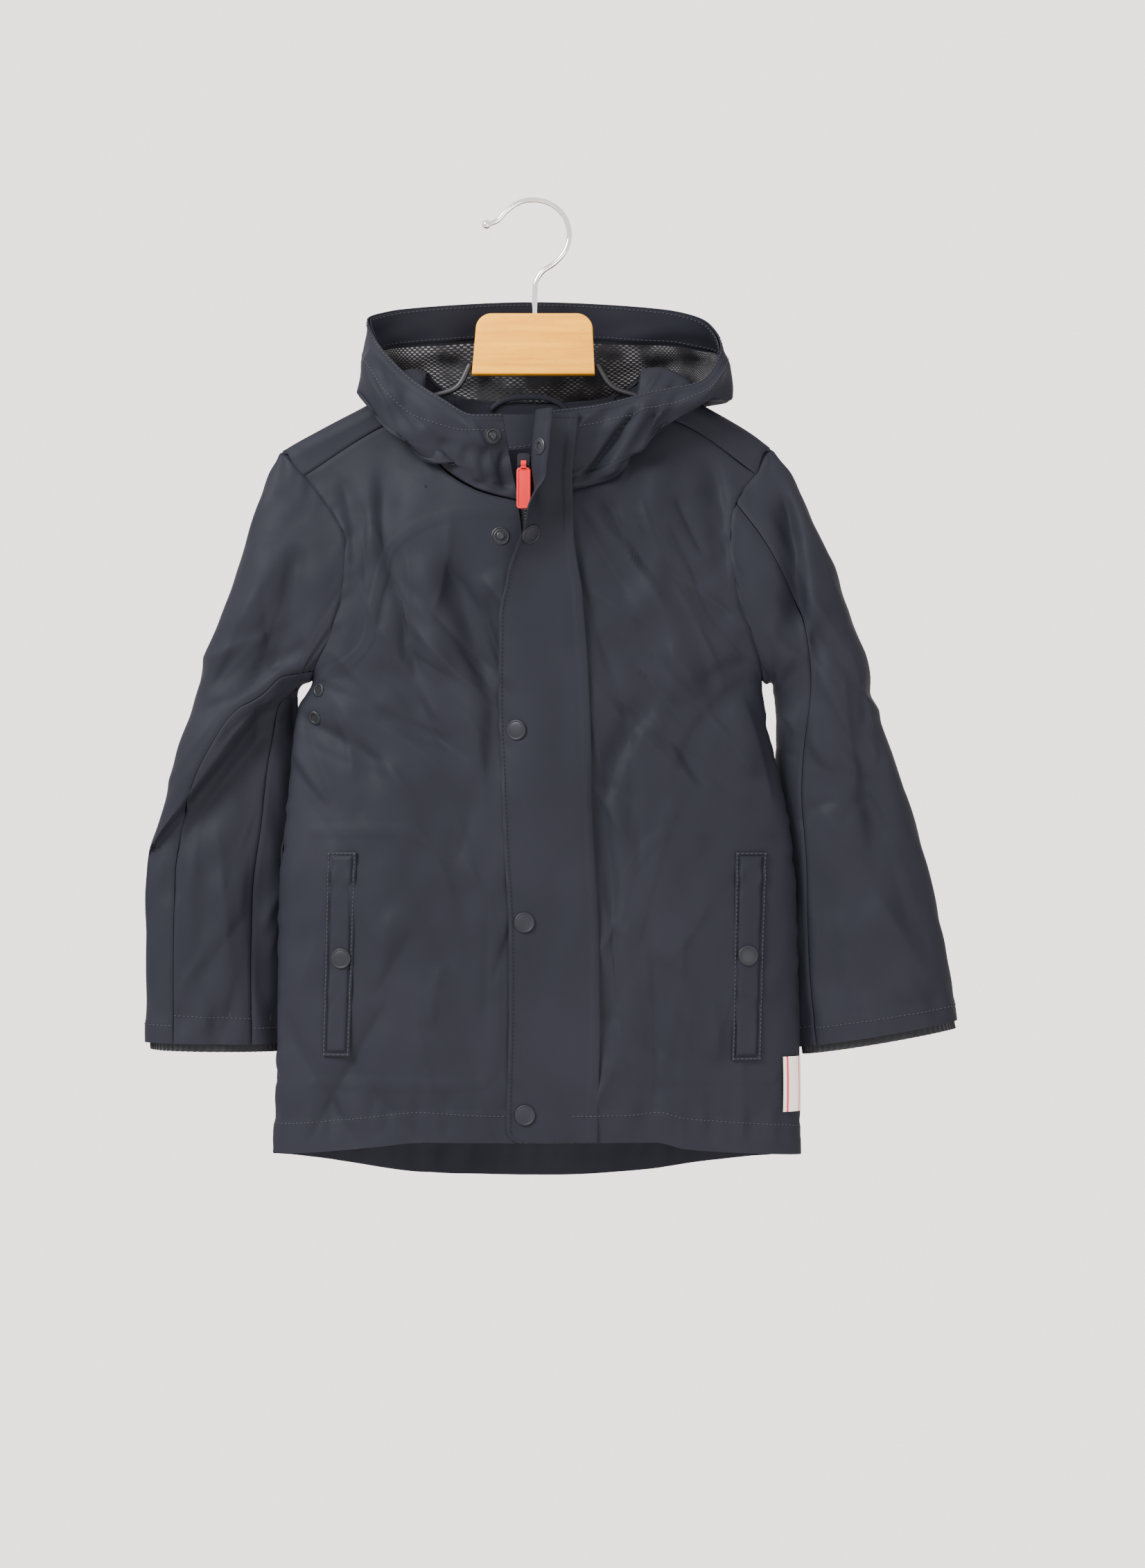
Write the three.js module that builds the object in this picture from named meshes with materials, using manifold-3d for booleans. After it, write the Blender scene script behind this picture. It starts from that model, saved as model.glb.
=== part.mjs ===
// Kids raincoat on a hanger, in millimetres. The front faces -Y and +Z is up.
// The origin is the inner top of the hanger's hook, where a rail bears.
// "right" and "left" are the wearer's: the wearer's right is at -X.
import * as THREE from 'three';
import { mergeVertices } from 'three/addons/utils/BufferGeometryUtils.js';
import Module from 'manifold-3d';

const wasm = await Module();
wasm.setup();

const cloth = 1.2;          // wall of one shell cloth layer
const liningCloth = 0.7;    // wall of the net lining and the facings
const seamGap = 0.4;        // air between two pieces at a seam
const shoulderRadius = 12;  // half the coat's thickness over the hanger's arm
const shoulderReach = 100;  // drop over which the body gains its full depth
const roundness = 2.3;      // power of the body's superellipse section

const colours = {
  shell: new THREE.MeshStandardMaterial({ color: 0x2f333b, roughness: 0.5, metalness: 0 }),
  net: new THREE.MeshStandardMaterial({ color: 0x55585e, roughness: 0.8, metalness: 0 }),
  rib: new THREE.MeshStandardMaterial({ color: 0x1c1e24, roughness: 0.8, metalness: 0 }),
  cap: new THREE.MeshStandardMaterial({ color: 0x3a3e46, roughness: 0.4, metalness: 0.3 }),
  nickel: new THREE.MeshStandardMaterial({ color: 0x55565a, roughness: 0.35, metalness: 0.9 }),
  rubber: new THREE.MeshStandardMaterial({ color: 0xb8242c, roughness: 0.6, metalness: 0 }),
  label: new THREE.MeshStandardMaterial({ color: 0xe8e3d8, roughness: 0.8, metalness: 0 }),
  wood: new THREE.MeshStandardMaterial({ color: 0xc99a66, roughness: 0.5, metalness: 0 }),
  chrome: new THREE.MeshStandardMaterial({ color: 0xc8cace, roughness: 0.15, metalness: 1 }),
};

// Shape tools

const clamp01 = (value) => Math.min(1, Math.max(0, value));
const mix = (a, b, share) => a + (b - a) * share;
const smooth = (value) => {
  const t = clamp01(value);
  return t * t * (3 - 2 * t);
};

// A smooth function through (keys, values) that never overshoots them.
function follow(keys, values) {
  const up = keys[keys.length - 1] > keys[0];
  const k = up ? keys : [...keys].reverse();
  const w = up ? values : [...values].reverse();
  const steps = k.slice(1).map((key, i) => (w[i + 1] - w[i]) / (key - k[i]));
  const slopes = w.map((_, i) => {
    if (i === 0) return steps[0];
    if (i === w.length - 1) return steps[i - 1];
    const before = steps[i - 1];
    const after = steps[i];
    return before * after <= 0 ? 0 : (2 * before * after) / (before + after);
  });
  return (key) => {
    let i = 0;
    while (i < k.length - 2 && key > k[i + 1]) i += 1;
    const span = k[i + 1] - k[i];
    const t = (key - k[i]) / span;
    if (t < 0) return w[0] + slopes[0] * (key - k[0]);
    if (t > 1) return w[i + 1] + slopes[i + 1] * (key - k[i + 1]);
    const t2 = t * t;
    const t3 = t2 * t;
    return w[i] * (2 * t3 - 3 * t2 + 1) + w[i + 1] * (3 * t2 - 2 * t3)
      + span * (slopes[i] * (t3 - 2 * t2 + t) + slopes[i + 1] * (t3 - t2));
  };
}

// A table with named columns becomes one smooth function for each column after the first.
function tracks(names, rows) {
  const columns = names.split(' ');
  const keys = rows.map((row) => row[0]);
  return Object.fromEntries(columns.slice(1).map((name, i) => [
    name, follow(keys, rows.map((row) => row[i + 1])),
  ]));
}

// A smooth path through points, with t from 0 to 1 along its length.
function path(points) {
  const lengths = [0];
  for (let i = 1; i < points.length; i += 1) {
    lengths.push(lengths[i - 1] + Math.hypot(...points[i].map((value, axis) => value - points[i - 1][axis])));
  }
  const total = lengths[lengths.length - 1];
  const parts = points[0].map((_, axis) => follow(lengths, points.map((point) => point[axis])));
  return (t) => parts.map((part) => part(t * total));
}

// Two paths end to end, the first taking the given share of the parameter.
function join(first, second, share) {
  return (t) => (t <= share ? first(t / share) : second((t - share) / (1 - share)));
}

// A four-sided patch between a top, a bottom and two side curves of 2-D points.
// The bend of a side curve fades quickly into the patch, so that it can't reach the other side.
function patch(top, bottom, start, end) {
  const fade = 2.5;
  const bend = (side, v, axis) => side(v)[axis] - mix(side(0)[axis], side(1)[axis], v);
  return (u, v) => [0, 1].map((axis) => (
    mix(top(u)[axis], bottom(u)[axis], v)
    + (1 - u) ** fade * bend(start, v, axis) + u ** fade * bend(end, v, axis)
  ));
}

// How deep a set of creases dips at (x, z). A crease has a path, a width and a depth;
// it fades out at both ends, and a negative depth is a ridge.
function creases(rows) {
  const lines = rows.map(({ line, width, depth }) => {
    const lengths = [0];
    for (let i = 1; i < line.length; i += 1) {
      lengths.push(lengths[i - 1] + Math.hypot(line[i][0] - line[i - 1][0], line[i][1] - line[i - 1][1]));
    }
    return { line, width, depth, lengths };
  });
  return (x, z) => {
    let total = 0;
    for (const { line, width, depth, lengths } of lines) {
      let nearest = Infinity;
      let along = 0;
      for (let i = 1; i < line.length; i += 1) {
        const [x0, z0] = line[i - 1];
        const dx = line[i][0] - x0;
        const dz = line[i][1] - z0;
        const t = clamp01(((x - x0) * dx + (z - z0) * dz) / (dx * dx + dz * dz));
        const distance = Math.hypot(x - x0 - t * dx, z - z0 - t * dz);
        if (distance < nearest) {
          nearest = distance;
          along = mix(lengths[i - 1], lengths[i], t) / lengths[line.length - 1];
        }
      }
      const fade = smooth(along / 0.25) * smooth((1 - along) / 0.25);
      total += depth * fade * Math.exp(-((nearest / width) ** 2));
    }
    return total;
  };
}

function closedMesh(name, material, positions, triangles) {
  let volume = 0;
  const corner = (i) => new THREE.Vector3(...positions.slice(3 * i, 3 * i + 3));
  for (let i = 0; i < triangles.length; i += 3) {
    volume += corner(triangles[i]).dot(corner(triangles[i + 1]).cross(corner(triangles[i + 2])));
  }
  const facing = volume > 0 ? triangles : [...triangles].reverse();
  const geometry = new THREE.BufferGeometry();
  geometry.setAttribute('position', new THREE.Float32BufferAttribute(positions, 3));
  geometry.setIndex(facing);
  geometry.computeVertexNormals();
  const mesh = new THREE.Mesh(geometry, material);
  mesh.name = name;
  return mesh;
}

// The unit normal of point(u, v), measured on a short step that stays inside the patch.
function normalOf(point, u, v) {
  const step = 0.004;
  const across = point(Math.min(1, u + step), v).sub(point(Math.max(0, u - step), v));
  const down = point(u, Math.min(1, v + step)).sub(point(u, Math.max(0, v - step)));
  return across.cross(down).normalize();
}

// A wall along the surface point(u, v). inset is the way from the surface into the coat
// at which the wall starts, and inward is +1 or -1 along the surface's own normal.
function wall(name, material, point, { across, down, inward, inset = 0, thickness = cloth, ring = false }) {
  const columns = ring ? across : across + 1;
  const rows = down + 1;
  const positions = [];
  for (const depth of [inset, inset + thickness]) {
    for (let i = 0; i < columns; i += 1) {
      for (let j = 0; j < rows; j += 1) {
        const u = i / across;
        const v = j / down;
        const place = point(u, v).addScaledVector(normalOf(point, u, v), inward * depth);
        positions.push(place.x, place.y, place.z);
      }
    }
  }
  const layer = columns * rows;
  const at = (i, j, side) => side * layer + (i % columns) * rows + j;
  const triangles = [];
  const quad = (a, b, c, d) => triangles.push(a, b, c, a, c, d);
  for (let i = 0; i < across; i += 1) {
    for (let j = 0; j < down; j += 1) {
      quad(at(i, j, 0), at(i + 1, j, 0), at(i + 1, j + 1, 0), at(i, j + 1, 0));
      quad(at(i, j, 1), at(i, j + 1, 1), at(i + 1, j + 1, 1), at(i + 1, j, 1));
    }
    quad(at(i, 0, 0), at(i, 0, 1), at(i + 1, 0, 1), at(i + 1, 0, 0));
    quad(at(i, down, 0), at(i + 1, down, 0), at(i + 1, down, 1), at(i, down, 1));
  }
  if (!ring) {
    for (let j = 0; j < down; j += 1) {
      quad(at(0, j, 0), at(0, j + 1, 0), at(0, j + 1, 1), at(0, j, 1));
      quad(at(across, j, 0), at(across, j, 1), at(across, j + 1, 1), at(across, j + 1, 0));
    }
  }
  return closedMesh(name, material, positions, triangles);
}

// The body: half widths by height, the shoulder ridge by x, and the depths of both sides

const body = tracks('z right left front back', [
  [-118, -180, 172, 30, 24],
  [-150, -185, 176, 31, 25],
  [-180, -189, 178, 32, 26],
  [-200, -196, 187, 34, 27],
  [-250, -203, 200, 36, 28],
  [-290, -195, 193, 36, 29],
  [-325, -178, 178, 36, 29],
  [-346, -161, 164, 36, 30],
  [-357, -166, 165, 36, 30],
  [-366, -172, 166, 36, 30],
  [-407, -176, 175, 35, 30],
  [-456, -181, 185, 34, 30],
  [-505, -185, 189, 34, 30],
  [-590, -186, 191, 34, 30],
  [-684, -189, 192, 34, 32],
]);
const ridge = tracks('x z', [
  [-200, -191], [-183, -180], [-157, -165], [-128, -150], [-78, -124], [-40, -114],
  [40, -114], [78, -124], [128, -150], [155, -166], [171, -178], [190, -192],
]).z;

const frontCreases = creases([
  {
    line: [[-111, -182], [-108, -216], [-108, -245], [-102, -266], [-93, -295], [-90, -324], [-84, -350]],
    width: 9,
    depth: 6,
  },
  {
    line: [[-55, -236], [-59, -275], [-49, -302], [-36, -346], [-28, -370], [-33, -415], [-45, -440]],
    width: 12,
    depth: 6,
  },
  { line: [[-80, -250], [-74, -300], [-62, -350]], width: 12, depth: -4 },
  { line: [[-139, -195], [-130, -235], [-128, -270]], width: 7, depth: 3 },
  { line: [[121, -177], [131, -209], [138, -280]], width: 8, depth: 5 },
  { line: [[71, -264], [97, -309], [111, -365]], width: 13, depth: -5 },
  {
    line: [[95, -335], [83, -360], [59, -400], [48, -440], [54, -490], [57, -560], [60, -625]],
    width: 9,
    depth: 6,
  },
  { line: [[143, -350], [150, -385], [157, -420]], width: 10, depth: -3 },
  { line: [[-100, -380], [-96, -470], [-104, -560]], width: 24, depth: -4 },
]);
const backCreases = creases([
  { line: [[-60, -230], [-72, -330], [-66, -430]], width: 14, depth: 5 },
  { line: [[50, -240], [66, -350], [58, -470]], width: 14, depth: 5 },
  { line: [[0, -300], [-6, -450], [4, -600]], width: 20, depth: -4 },
  { line: [[120, -300], [112, -400], [118, -520]], width: 12, depth: 4 },
  { line: [[-124, -310], [-112, -420], [-120, -540]], width: 12, depth: 4 },
]);

const middle = (z) => (body.left(z) + body.right(z)) / 2;
const halfWidth = (z) => (body.left(z) - body.right(z)) / 2;
const angleAt = (x, z) => Math.asin(Math.max(-1, Math.min(1, (x - middle(z)) / halfWidth(z))));
const xAt = (angle, z) => middle(z) + halfWidth(z) * Math.sin(angle);

// The body's surface at (x, z): side is -1 for the front and +1 for the back.
function bodyPoint(angle, z, side, lift = 0) {
  const x = xAt(angle, z);
  const drop = Math.max(0, ridge(x) - z);
  const full = side < 0 ? body.front(z) : body.back(z);
  const round = drop < shoulderRadius
    ? Math.sqrt(shoulderRadius ** 2 - (shoulderRadius - drop) ** 2)
    : mix(shoulderRadius, full, smooth((drop - shoulderRadius) / shoulderReach));
  const lens = (1 - Math.abs(Math.sin(angle)) ** roundness) ** (1 / roundness);
  const crease = side < 0 ? frontCreases(x, z) : backCreases(x, z);
  const dip = crease * smooth(lens * 1.6) * smooth(drop / 40);
  const apart = (seamGap / 2) * smooth(drop / 10);
  return new THREE.Vector3(x, side * (round * lens - dip + apart + lift), z);
}
const frontPoint = (x, z, lift = 0) => bodyPoint(angleAt(x, z), z, -1, lift);

// A way over the shoulder: minus is the length down the front from the ridge, plus down the back.
const quarter = (shoulderRadius * Math.PI) / 2;
const dropOf = (way) => (Math.abs(way) < quarter
  ? shoulderRadius * (1 - Math.cos(way / shoulderRadius))
  : shoulderRadius + Math.abs(way) - quarter);
function wayOf(x, z, side) {
  const drop = Math.max(0, ridge(x) - z);
  const length = drop < shoulderRadius
    ? shoulderRadius * Math.acos(1 - drop / shoulderRadius)
    : quarter + drop - shoulderRadius;
  return side * length;
}
function wrapPoint(angle, way) {
  let z = -200;
  for (let i = 0; i < 16; i += 1) z = ridge(xAt(angle, z)) - dropOf(way);
  return bodyPoint(angle, z, way < 0 ? -1 : 1);
}

// Seam lines in (x, z), from the photograph

const neckStations = [
  [-12, -218, -1], [-41, -210, -1], [-71, -187, -1], [-80, -150, -1], [-78, -124, 0], [-66, -134, 1],
  [-40, -142, 1], [0, -144, 1], [40, -142, 1], [66, -134, 1], [77, -124, 0], [73, -147, -1],
  [60, -200, -1], [40, -208, -1], [14, -213, -1],
];
const lastStation = neckStations.length - 1;
const stationKeys = neckStations.map((_, i) => i / lastStation);
const neckX = follow(stationKeys, neckStations.map(([x]) => x));
const neckWay = follow(stationKeys, neckStations.map(([x, z, side]) => wayOf(x, z, side)));
const neckZ = (u) => ridge(neckX(u)) - dropOf(neckWay(u));
const shoulderEnd = 3 / lastStation;

const armTop = { right: [-166, -198], left: [159, -197] };
const armpit = { right: [-161, -346], left: [164, -346] };
const shoulderTip = { right: [-183, -180], left: [171, -178] };
const armholeFront = {
  right: [armTop.right, [-148, -221], [-135, -246], [-137, -277], [-148, -317], [-157, -335], armpit.right],
  left: [armTop.left, [144, -219], [140, -246], [146, -286], [157, -317], [162, -335], armpit.left],
};
const armholeBack = {
  right: [
    shoulderTip.right, [-164, -202], [-152, -226], [-146, -252], [-148, -284], [-154, -318], armpit.right,
  ],
  left: [
    shoulderTip.left, [158, -202], [149, -226], [146, -252], [149, -284], [156, -318], armpit.left,
  ],
};
const armpitRow = 1 / 3;

// Front panels

const frontHem = {
  right: [[-8, -675.5], [-77, -675], [-117, -679], [-171, -684], [-189, -684.5]],
  left: [[14, -675], [86, -675], [108, -680], [160, -684], [192, -686]],
};
const frontEdge = {
  right: [[-12, -218], [-9, -242], [-8, -300], [-8, -675.5]],
  left: [[14, -213], [14, -300], [14, -675]],
};

const neckColumns = 6;

function frontPanel(name, wearer) {
  const sign = wearer === 'right' ? -1 : 1;
  const toAngle = ([x, z]) => [angleAt(x, z), z];
  const neck = (t) => {
    const u = wearer === 'right' ? t * shoulderEnd : 1 - t * shoulderEnd;
    return [neckX(u), neckZ(u) - seamGap];
  };
  const shoulder = path([neck(1), [sign * 113, -164.5], armTop[wearer]]);
  const top = join(neck, (t) => {
    const [x, z] = shoulder(t);
    return [x, z - seamGap];
  }, neckColumns / 14);
  const hem = path(frontHem[wearer]);
  const edge = path(frontEdge[wearer]);
  const armhole = path(armholeFront[wearer]);
  const hemEnd = frontHem[wearer][4][1];
  const side = (v) => {
    if (v <= armpitRow) return toAngle(armhole(v / armpitRow));
    const z = mix(armpit[wearer][1], hemEnd, (v - armpitRow) / (1 - armpitRow));
    return [sign * (Math.PI / 2), z];
  };
  const outline = patch((u) => toAngle(top(u)), (u) => toAngle(hem(u)), (v) => toAngle(edge(v)), side);
  const point = (u, v) => {
    const [angle, z] = outline(u, v);
    return bodyPoint(angle, z, -1);
  };
  return wall(name, colours.shell, point, { across: 14, down: 21, inward: sign });
}

// Back panel: from the forward shoulder seams over the ridge and down to the tail hem

function backPanel() {
  const toWay = (x, z, side) => [angleAt(x, z), wayOf(x, z, side)];
  const neckShare = 4 / 24;
  const shoulderSeam = (wearer) => {
    const u = wearer === 'right' ? shoulderEnd : 1 - shoulderEnd;
    const sign = wearer === 'right' ? -1 : 1;
    return path([armTop[wearer], [sign * 113, -164.5], [neckX(u), neckZ(u)]]);
  };
  const rightSeam = shoulderSeam('right');
  const leftSeam = shoulderSeam('left');
  const top = (u) => {
    if (u <= neckShare) {
      const [x, z] = rightSeam(u / neckShare);
      return toWay(x, z + seamGap, -1);
    }
    if (u >= 1 - neckShare) {
      const [x, z] = leftSeam((1 - u) / neckShare);
      return toWay(x, z + seamGap, -1);
    }
    const k = mix(shoulderEnd, 1 - shoulderEnd, (u - neckShare) / (1 - 2 * neckShare));
    return [angleAt(neckX(k), neckZ(k)), neckWay(k)];
  };
  const tail = path([[-189, -686], [-177, -687], [-126, -695], [-81, -702], [-37, -704.5], [17, -705],
    [75, -701], [128, -692.5], [178, -687], [192, -686.5]]);
  const bottom = (u) => {
    const [x, z] = tail(u);
    return toWay(x, z, 1);
  };
  const edge = (wearer) => {
    const sign = wearer === 'right' ? -1 : 1;
    const overTip = 1 / 13;
    const [tipX, tipZ] = shoulderTip[wearer];
    const [topX, topZ] = armTop[wearer];
    const start = toWay(topX, topZ + seamGap, -1);
    const tip = toWay(tipX, tipZ, 0);
    const armhole = path(armholeBack[wearer]);
    const low = tail(wearer === 'right' ? 0 : 1);
    return (v) => {
      if (v <= overTip) return [mix(start[0], tip[0], v / overTip), mix(start[1], tip[1], v / overTip)];
      if (v <= armpitRow) {
        const [x, z] = armhole((v - overTip) / (armpitRow - overTip));
        return toWay(x, z, 1);
      }
      const z = mix(armpit[wearer][1], low[1], (v - armpitRow) / (1 - armpitRow));
      return [sign * (Math.PI / 2), wayOf(xAt(sign * (Math.PI / 2), z), z, 1)];
    };
  };
  const outline = patch(top, bottom, edge('right'), edge('left'));
  const closerAtRidge = follow([0, 0.12, 0.34, 1], [0, 0.035, 0.12, 1]);
  const point = (u, v) => {
    const [angle, way] = outline(u, closerAtRidge(v));
    return wrapPoint(angle, way);
  };
  return wall('back', colours.shell, point, { across: 24, down: 24, inward: -1 });
}

// Sleeves: rings from the armhole to the cuff, each with an outer and an inner end point

const sleeves = {
  right: tracks('ring outerX outerZ innerX innerZ depth centre yaw seamA seamB', [
    [0, -183, -180, -161, -346, 22, 0, 0, 158, 180],
    [1, -194, -204, -168, -349, 25, 0, 0, 152, 172],
    [2, -203, -232, -174, -355, 26, 1, 1, 140, 160],
    [3, -213, -264, -178, -366, 26, 2, 2, 122, 142],
    [4, -227, -304, -179, -384, 25, 4, 3, 104, 122],
    [5, -246, -364, -180, -415, 25, 7, 4, 72, 118],
    [6, -264, -424, -184, -455, 24, 10, 5, 56, 122],
    [7, -279, -481, -189, -505, 24, 12, 5, 60, 124],
    [8, -280, -544, -190, -556, 23, 14, 5, 60, 124],
    [9, -280, -606, -190, -608, 22, 15, 5, 60, 124],
    [10, -277, -616, -191, -618, 21, 15, 5, 60, 124],
  ]),
  left: tracks('ring outerX outerZ innerX innerZ depth centre yaw seamA seamB', [
    [0, 171, -178, 164, -346, 22, 0, 0, 62, 180],
    [1, 187, -204, 172, -348, 25, 0, 0, 74, 184],
    [2, 200, -232, 181, -354, 26, 0, 0, 84, 188],
    [3, 213, -264, 189, -360, 26, 1, 0, 96, 192],
    [4, 227, -304, 195, -375, 25, 2, 0, 112, 196],
    [5, 247, -364, 195, -402, 25, 4, 0, 128, 200],
    [6, 266, -424, 193, -442, 24, 6, 0, 136, 204],
    [7, 284, -484, 193, -495, 24, 8, 0, 140, 206],
    [8, 296, -540, 194, -552, 23, 9, 0, 142, 208],
    [9, 305, -590, 199, -610, 22, 10, 0, 142, 208],
    [10, 306, -600, 201, -620, 21, 10, 0, 142, 208],
  ]),
};
const sleeveCreases = {
  right: creases([
    { line: [[-152, -330], [-178, -356], [-206, -386], [-236, -430], [-262, -466]], width: 10, depth: 9 },
    { line: [[-190, -240], [-200, -300], [-216, -350]], width: 12, depth: -3 },
    { line: [[-166, -240], [-172, -290], [-184, -335]], width: 9, depth: 4 },
    { line: [[-228, -470], [-222, -530], [-228, -600]], width: 12, depth: -3 },
  ]),
  left: creases([
    { line: [[170, -196], [181, -230], [187, -270], [191, -320]], width: 8, depth: 12 },
    { line: [[212, -350], [222, -380], [237, -414], [247, -490]], width: 10, depth: 5 },
    { line: [[238, -500], [262, -540], [270, -590]], width: 12, depth: -4 },
    { line: [[160, -300], [178, -326], [197, -338]], width: 9, depth: -3 },
  ]),
};

// How far the inner edge of each hanging sleeve lies inward of its rings, and behind the body's side
const sideTuck = {
  right: tracks('ring inward back', [
    [0, 0, 0], [0.5, 0, 0], [1, 1, 1], [2, 4, 3], [4, 10, 7], [5, 12, 7], [7, 10, 5], [10, 10, 5],
  ]),
  left: tracks('ring inward back', [
    [0, 0, 0], [0.5, 0, 0], [1, 2, 3], [2, 10, 8], [4, 21, 13], [5, 22, 13], [7, 11, 9], [10, 9, 8],
  ]),
};

function sleevePoint(wearer, ring, theta) {
  const sign = wearer === 'right' ? -1 : 1;
  const shape = sleeves[wearer];
  const front = Math.sin(theta) >= 0;
  const along = Math.cos(theta);
  const width = Math.sign(along) * Math.abs(along) ** 0.9;
  const bulge = Math.sign(Math.sin(theta)) * Math.abs(Math.sin(theta)) ** 0.85;
  const ringPoint = (k) => new THREE.Vector3(
    mix(shape.innerX(k), shape.outerX(k), (1 + width) / 2),
    shape.centre(k) - width * shape.yaw(k) - bulge * shape.depth(k),
    mix(shape.innerZ(k), shape.outerZ(k), (1 + width) / 2),
  );
  const hole = front ? [shoulderTip[wearer], ...armholeFront[wearer]] : armholeBack[wearer];
  const [x, z] = path(hole)((1 - along) / 2);
  const seat = bodyPoint(angleAt(x, z), z, front ? -1 : 1);
  const place = ringPoint(ring);
  const hold = Math.exp(-ring / 1.6) * (1 - smooth(ring / 7));
  place.add(seat.sub(ringPoint(0)).multiplyScalar(hold));
  const dip = front ? sleeveCreases[wearer](place.x, place.z) * smooth(ring / 1.5) * smooth(bulge * 1.5) : 0;
  place.y += dip;
  const nearArmpit = Math.exp(-ring) * ((1 - along) / 2) ** 6;
  const behindSide = sideTuck[wearer];
  const tucked = ((1 - width) / 2) ** 3;
  place.x += sign * (1.3 + 2.2 * nearArmpit - behindSide.inward(ring) * tucked);
  place.y += behindSide.back(ring) * tucked;
  return place;
}

function sleevePieces(wearer) {
  const shape = sleeves[wearer];
  const cuffRing = 9;
  const gapAngle = 0.005;
  const sign = wearer === 'right' ? 1 : -1;
  const under = (u, v) => {
    const ring = v * cuffRing;
    const from = THREE.MathUtils.degToRad(shape.seamA(ring)) + gapAngle;
    const to = THREE.MathUtils.degToRad(Math.max(shape.seamB(ring), shape.seamA(ring) + 3)) - gapAngle;
    return sleevePoint(wearer, ring, mix(from, to, u));
  };
  const upper = (u, v) => {
    const ring = v * cuffRing;
    const from = THREE.MathUtils.degToRad(Math.max(shape.seamB(ring), shape.seamA(ring) + 3)) + gapAngle;
    const to = THREE.MathUtils.degToRad(shape.seamA(ring)) + 2 * Math.PI - gapAngle;
    return sleevePoint(wearer, ring, mix(from, to, u));
  };
  const rib = (u, v) => sleevePoint(wearer, mix(8.5, 9.45, v), u * 2 * Math.PI);
  return [
    wall(`sleeve_under_${wearer}`, colours.shell, under, { across: 6, down: 17, inward: sign }),
    wall(`sleeve_upper_${wearer}`, colours.shell, upper, { across: 14, down: 17, inward: sign }),
    wall(`inner_cuff_${wearer}`, colours.rib, rib, {
      across: 18, down: 2, inward: sign, inset: cloth + 1.5, thickness: 1, ring: true,
    }),
  ];
}

// Hood: five curves from the neck seam to the rim, each with a point at every neck station

const hoodRise = [
  [-14, -35, -205], [-42, -36, -199], [-73, -29, -180], [-88, -20, -148], [-89, -3, -121], [-78, 14, -133],
  [-56, 21, -151], [0, 27, -166], [56, 21, -151], [80, 17, -131], [89, -3, -119.5], [84, -20, -144],
  [67, -32, -186], [41, -36.5, -197], [14, -35.5, -202],
];
const hoodFold = [
  [-17, -36.5, -190], [-43, -38.5, -188], [-79, -34, -185], [-103, -27, -166], [-122, -8, -138],
  [-108, 29, -146],
  [-80, 36, -190], [0, 38, -214], [80, 36, -188], [118, 27, -148], [135, -9, -142], [116, -27, -150],
  [76, -35, -176], [42, -37.4, -184], [14, -37, -190],
];
const hoodBulge = [
  [-20, -38.5, -172], [-44, -41, -172], [-77, -41, -166], [-105, -37, -149], [-126, -6, -118],
  [-124, 25, -120],
  [-106, 44, -136], [0, 48, -150], [106, 44, -134], [138, 25, -118], [141, -6, -119], [126, -34, -139],
  [84, -41, -156], [42, -39.6, -167], [13, -39, -172],
];
const hoodRim = [
  [-23, -40, -156.5], [-43, -41, -157], [-66, -38, -145], [-90, -27, -128], [-114, -7, -100], [-121, 4, -84],
  [-104, 15, -76], [-2, 27, -68], [100, 15, -76], [126, 4, -87], [134, -7, -104], [120, -25, -131],
  [84, -34, -140], [44, -38.5, -150], [12, -40, -154],
];
const hoodCurves = [hoodRise, hoodFold, hoodBulge, hoodRim].map((rows) => (
  [0, 1, 2].map((axis) => follow(stationKeys, rows.map((row) => row[axis])))
));
const hoodLevels = [0, 0.18, 0.38, 0.5, 0.74, 1];
const hoodFoldRadius = 6;

function hoodPoint(u, v) {
  const seat = wrapPoint(angleAt(neckX(u), neckZ(u)), neckWay(u));
  const holeCentre = -120;
  const reach = Math.hypot(seat.x, seat.z - holeCentre);
  const neck = [
    seat.x - (seat.x / reach) * seamGap * 2,
    seat.y + Math.sign(seat.y) * seamGap,
    seat.z + ((holeCentre - seat.z) / reach) * seamGap * 2,
  ];
  const [rise, fold, bulge, rim] = hoodCurves.map((curve) => curve.map((axis) => axis(u)));
  const upward = new THREE.Vector3(...bulge).sub(new THREE.Vector3(...rise));
  const onward = upward.setLength(hoodFoldRadius).toArray();
  const folded = [-1, 1].map((side) => fold.map((c, i) => c + side * onward[i]));
  const points = [neck, rise, ...folded, bulge, rim];
  return new THREE.Vector3(...[0, 1, 2].map((axis) => (
    follow(hoodLevels, points.map((point) => point[axis]))(v)
  )));
}

function hoodPieces() {
  const rows = 14;
  const liningRow = 8;
  const facingRow = 12;
  const half = { across: 14, down: rows, inward: 1 };
  const gap = 0.0012;
  const inside = { inward: 1, inset: cloth + 0.6, thickness: liningCloth, across: 28 };
  return [
    wall('hood_right', colours.shell, (u, v) => hoodPoint(u * (0.5 - gap), v), half),
    wall('hood_left', colours.shell, (u, v) => hoodPoint(0.5 + gap + u * (0.5 - gap), v), half),
    wall('hood_facing', colours.shell, (u, v) => hoodPoint(u, mix(facingRow + 0.15, rows, v) / rows), {
      ...inside, down: rows - facingRow,
    }),
    wall('hood_lining', colours.net, (u, v) => hoodPoint(u, mix(liningRow, facingRow, v) / rows), {
      ...inside, down: facingRow - liningRow,
    }),
  ];
}

// The face of the coat at the centre front, where the collar stands above the neck seam

const collar = tracks('z y', [[-230, -34], [-213, -34.6], [-190, -37.2], [-172, -39.2], [-154, -40.6]]).y;

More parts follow.
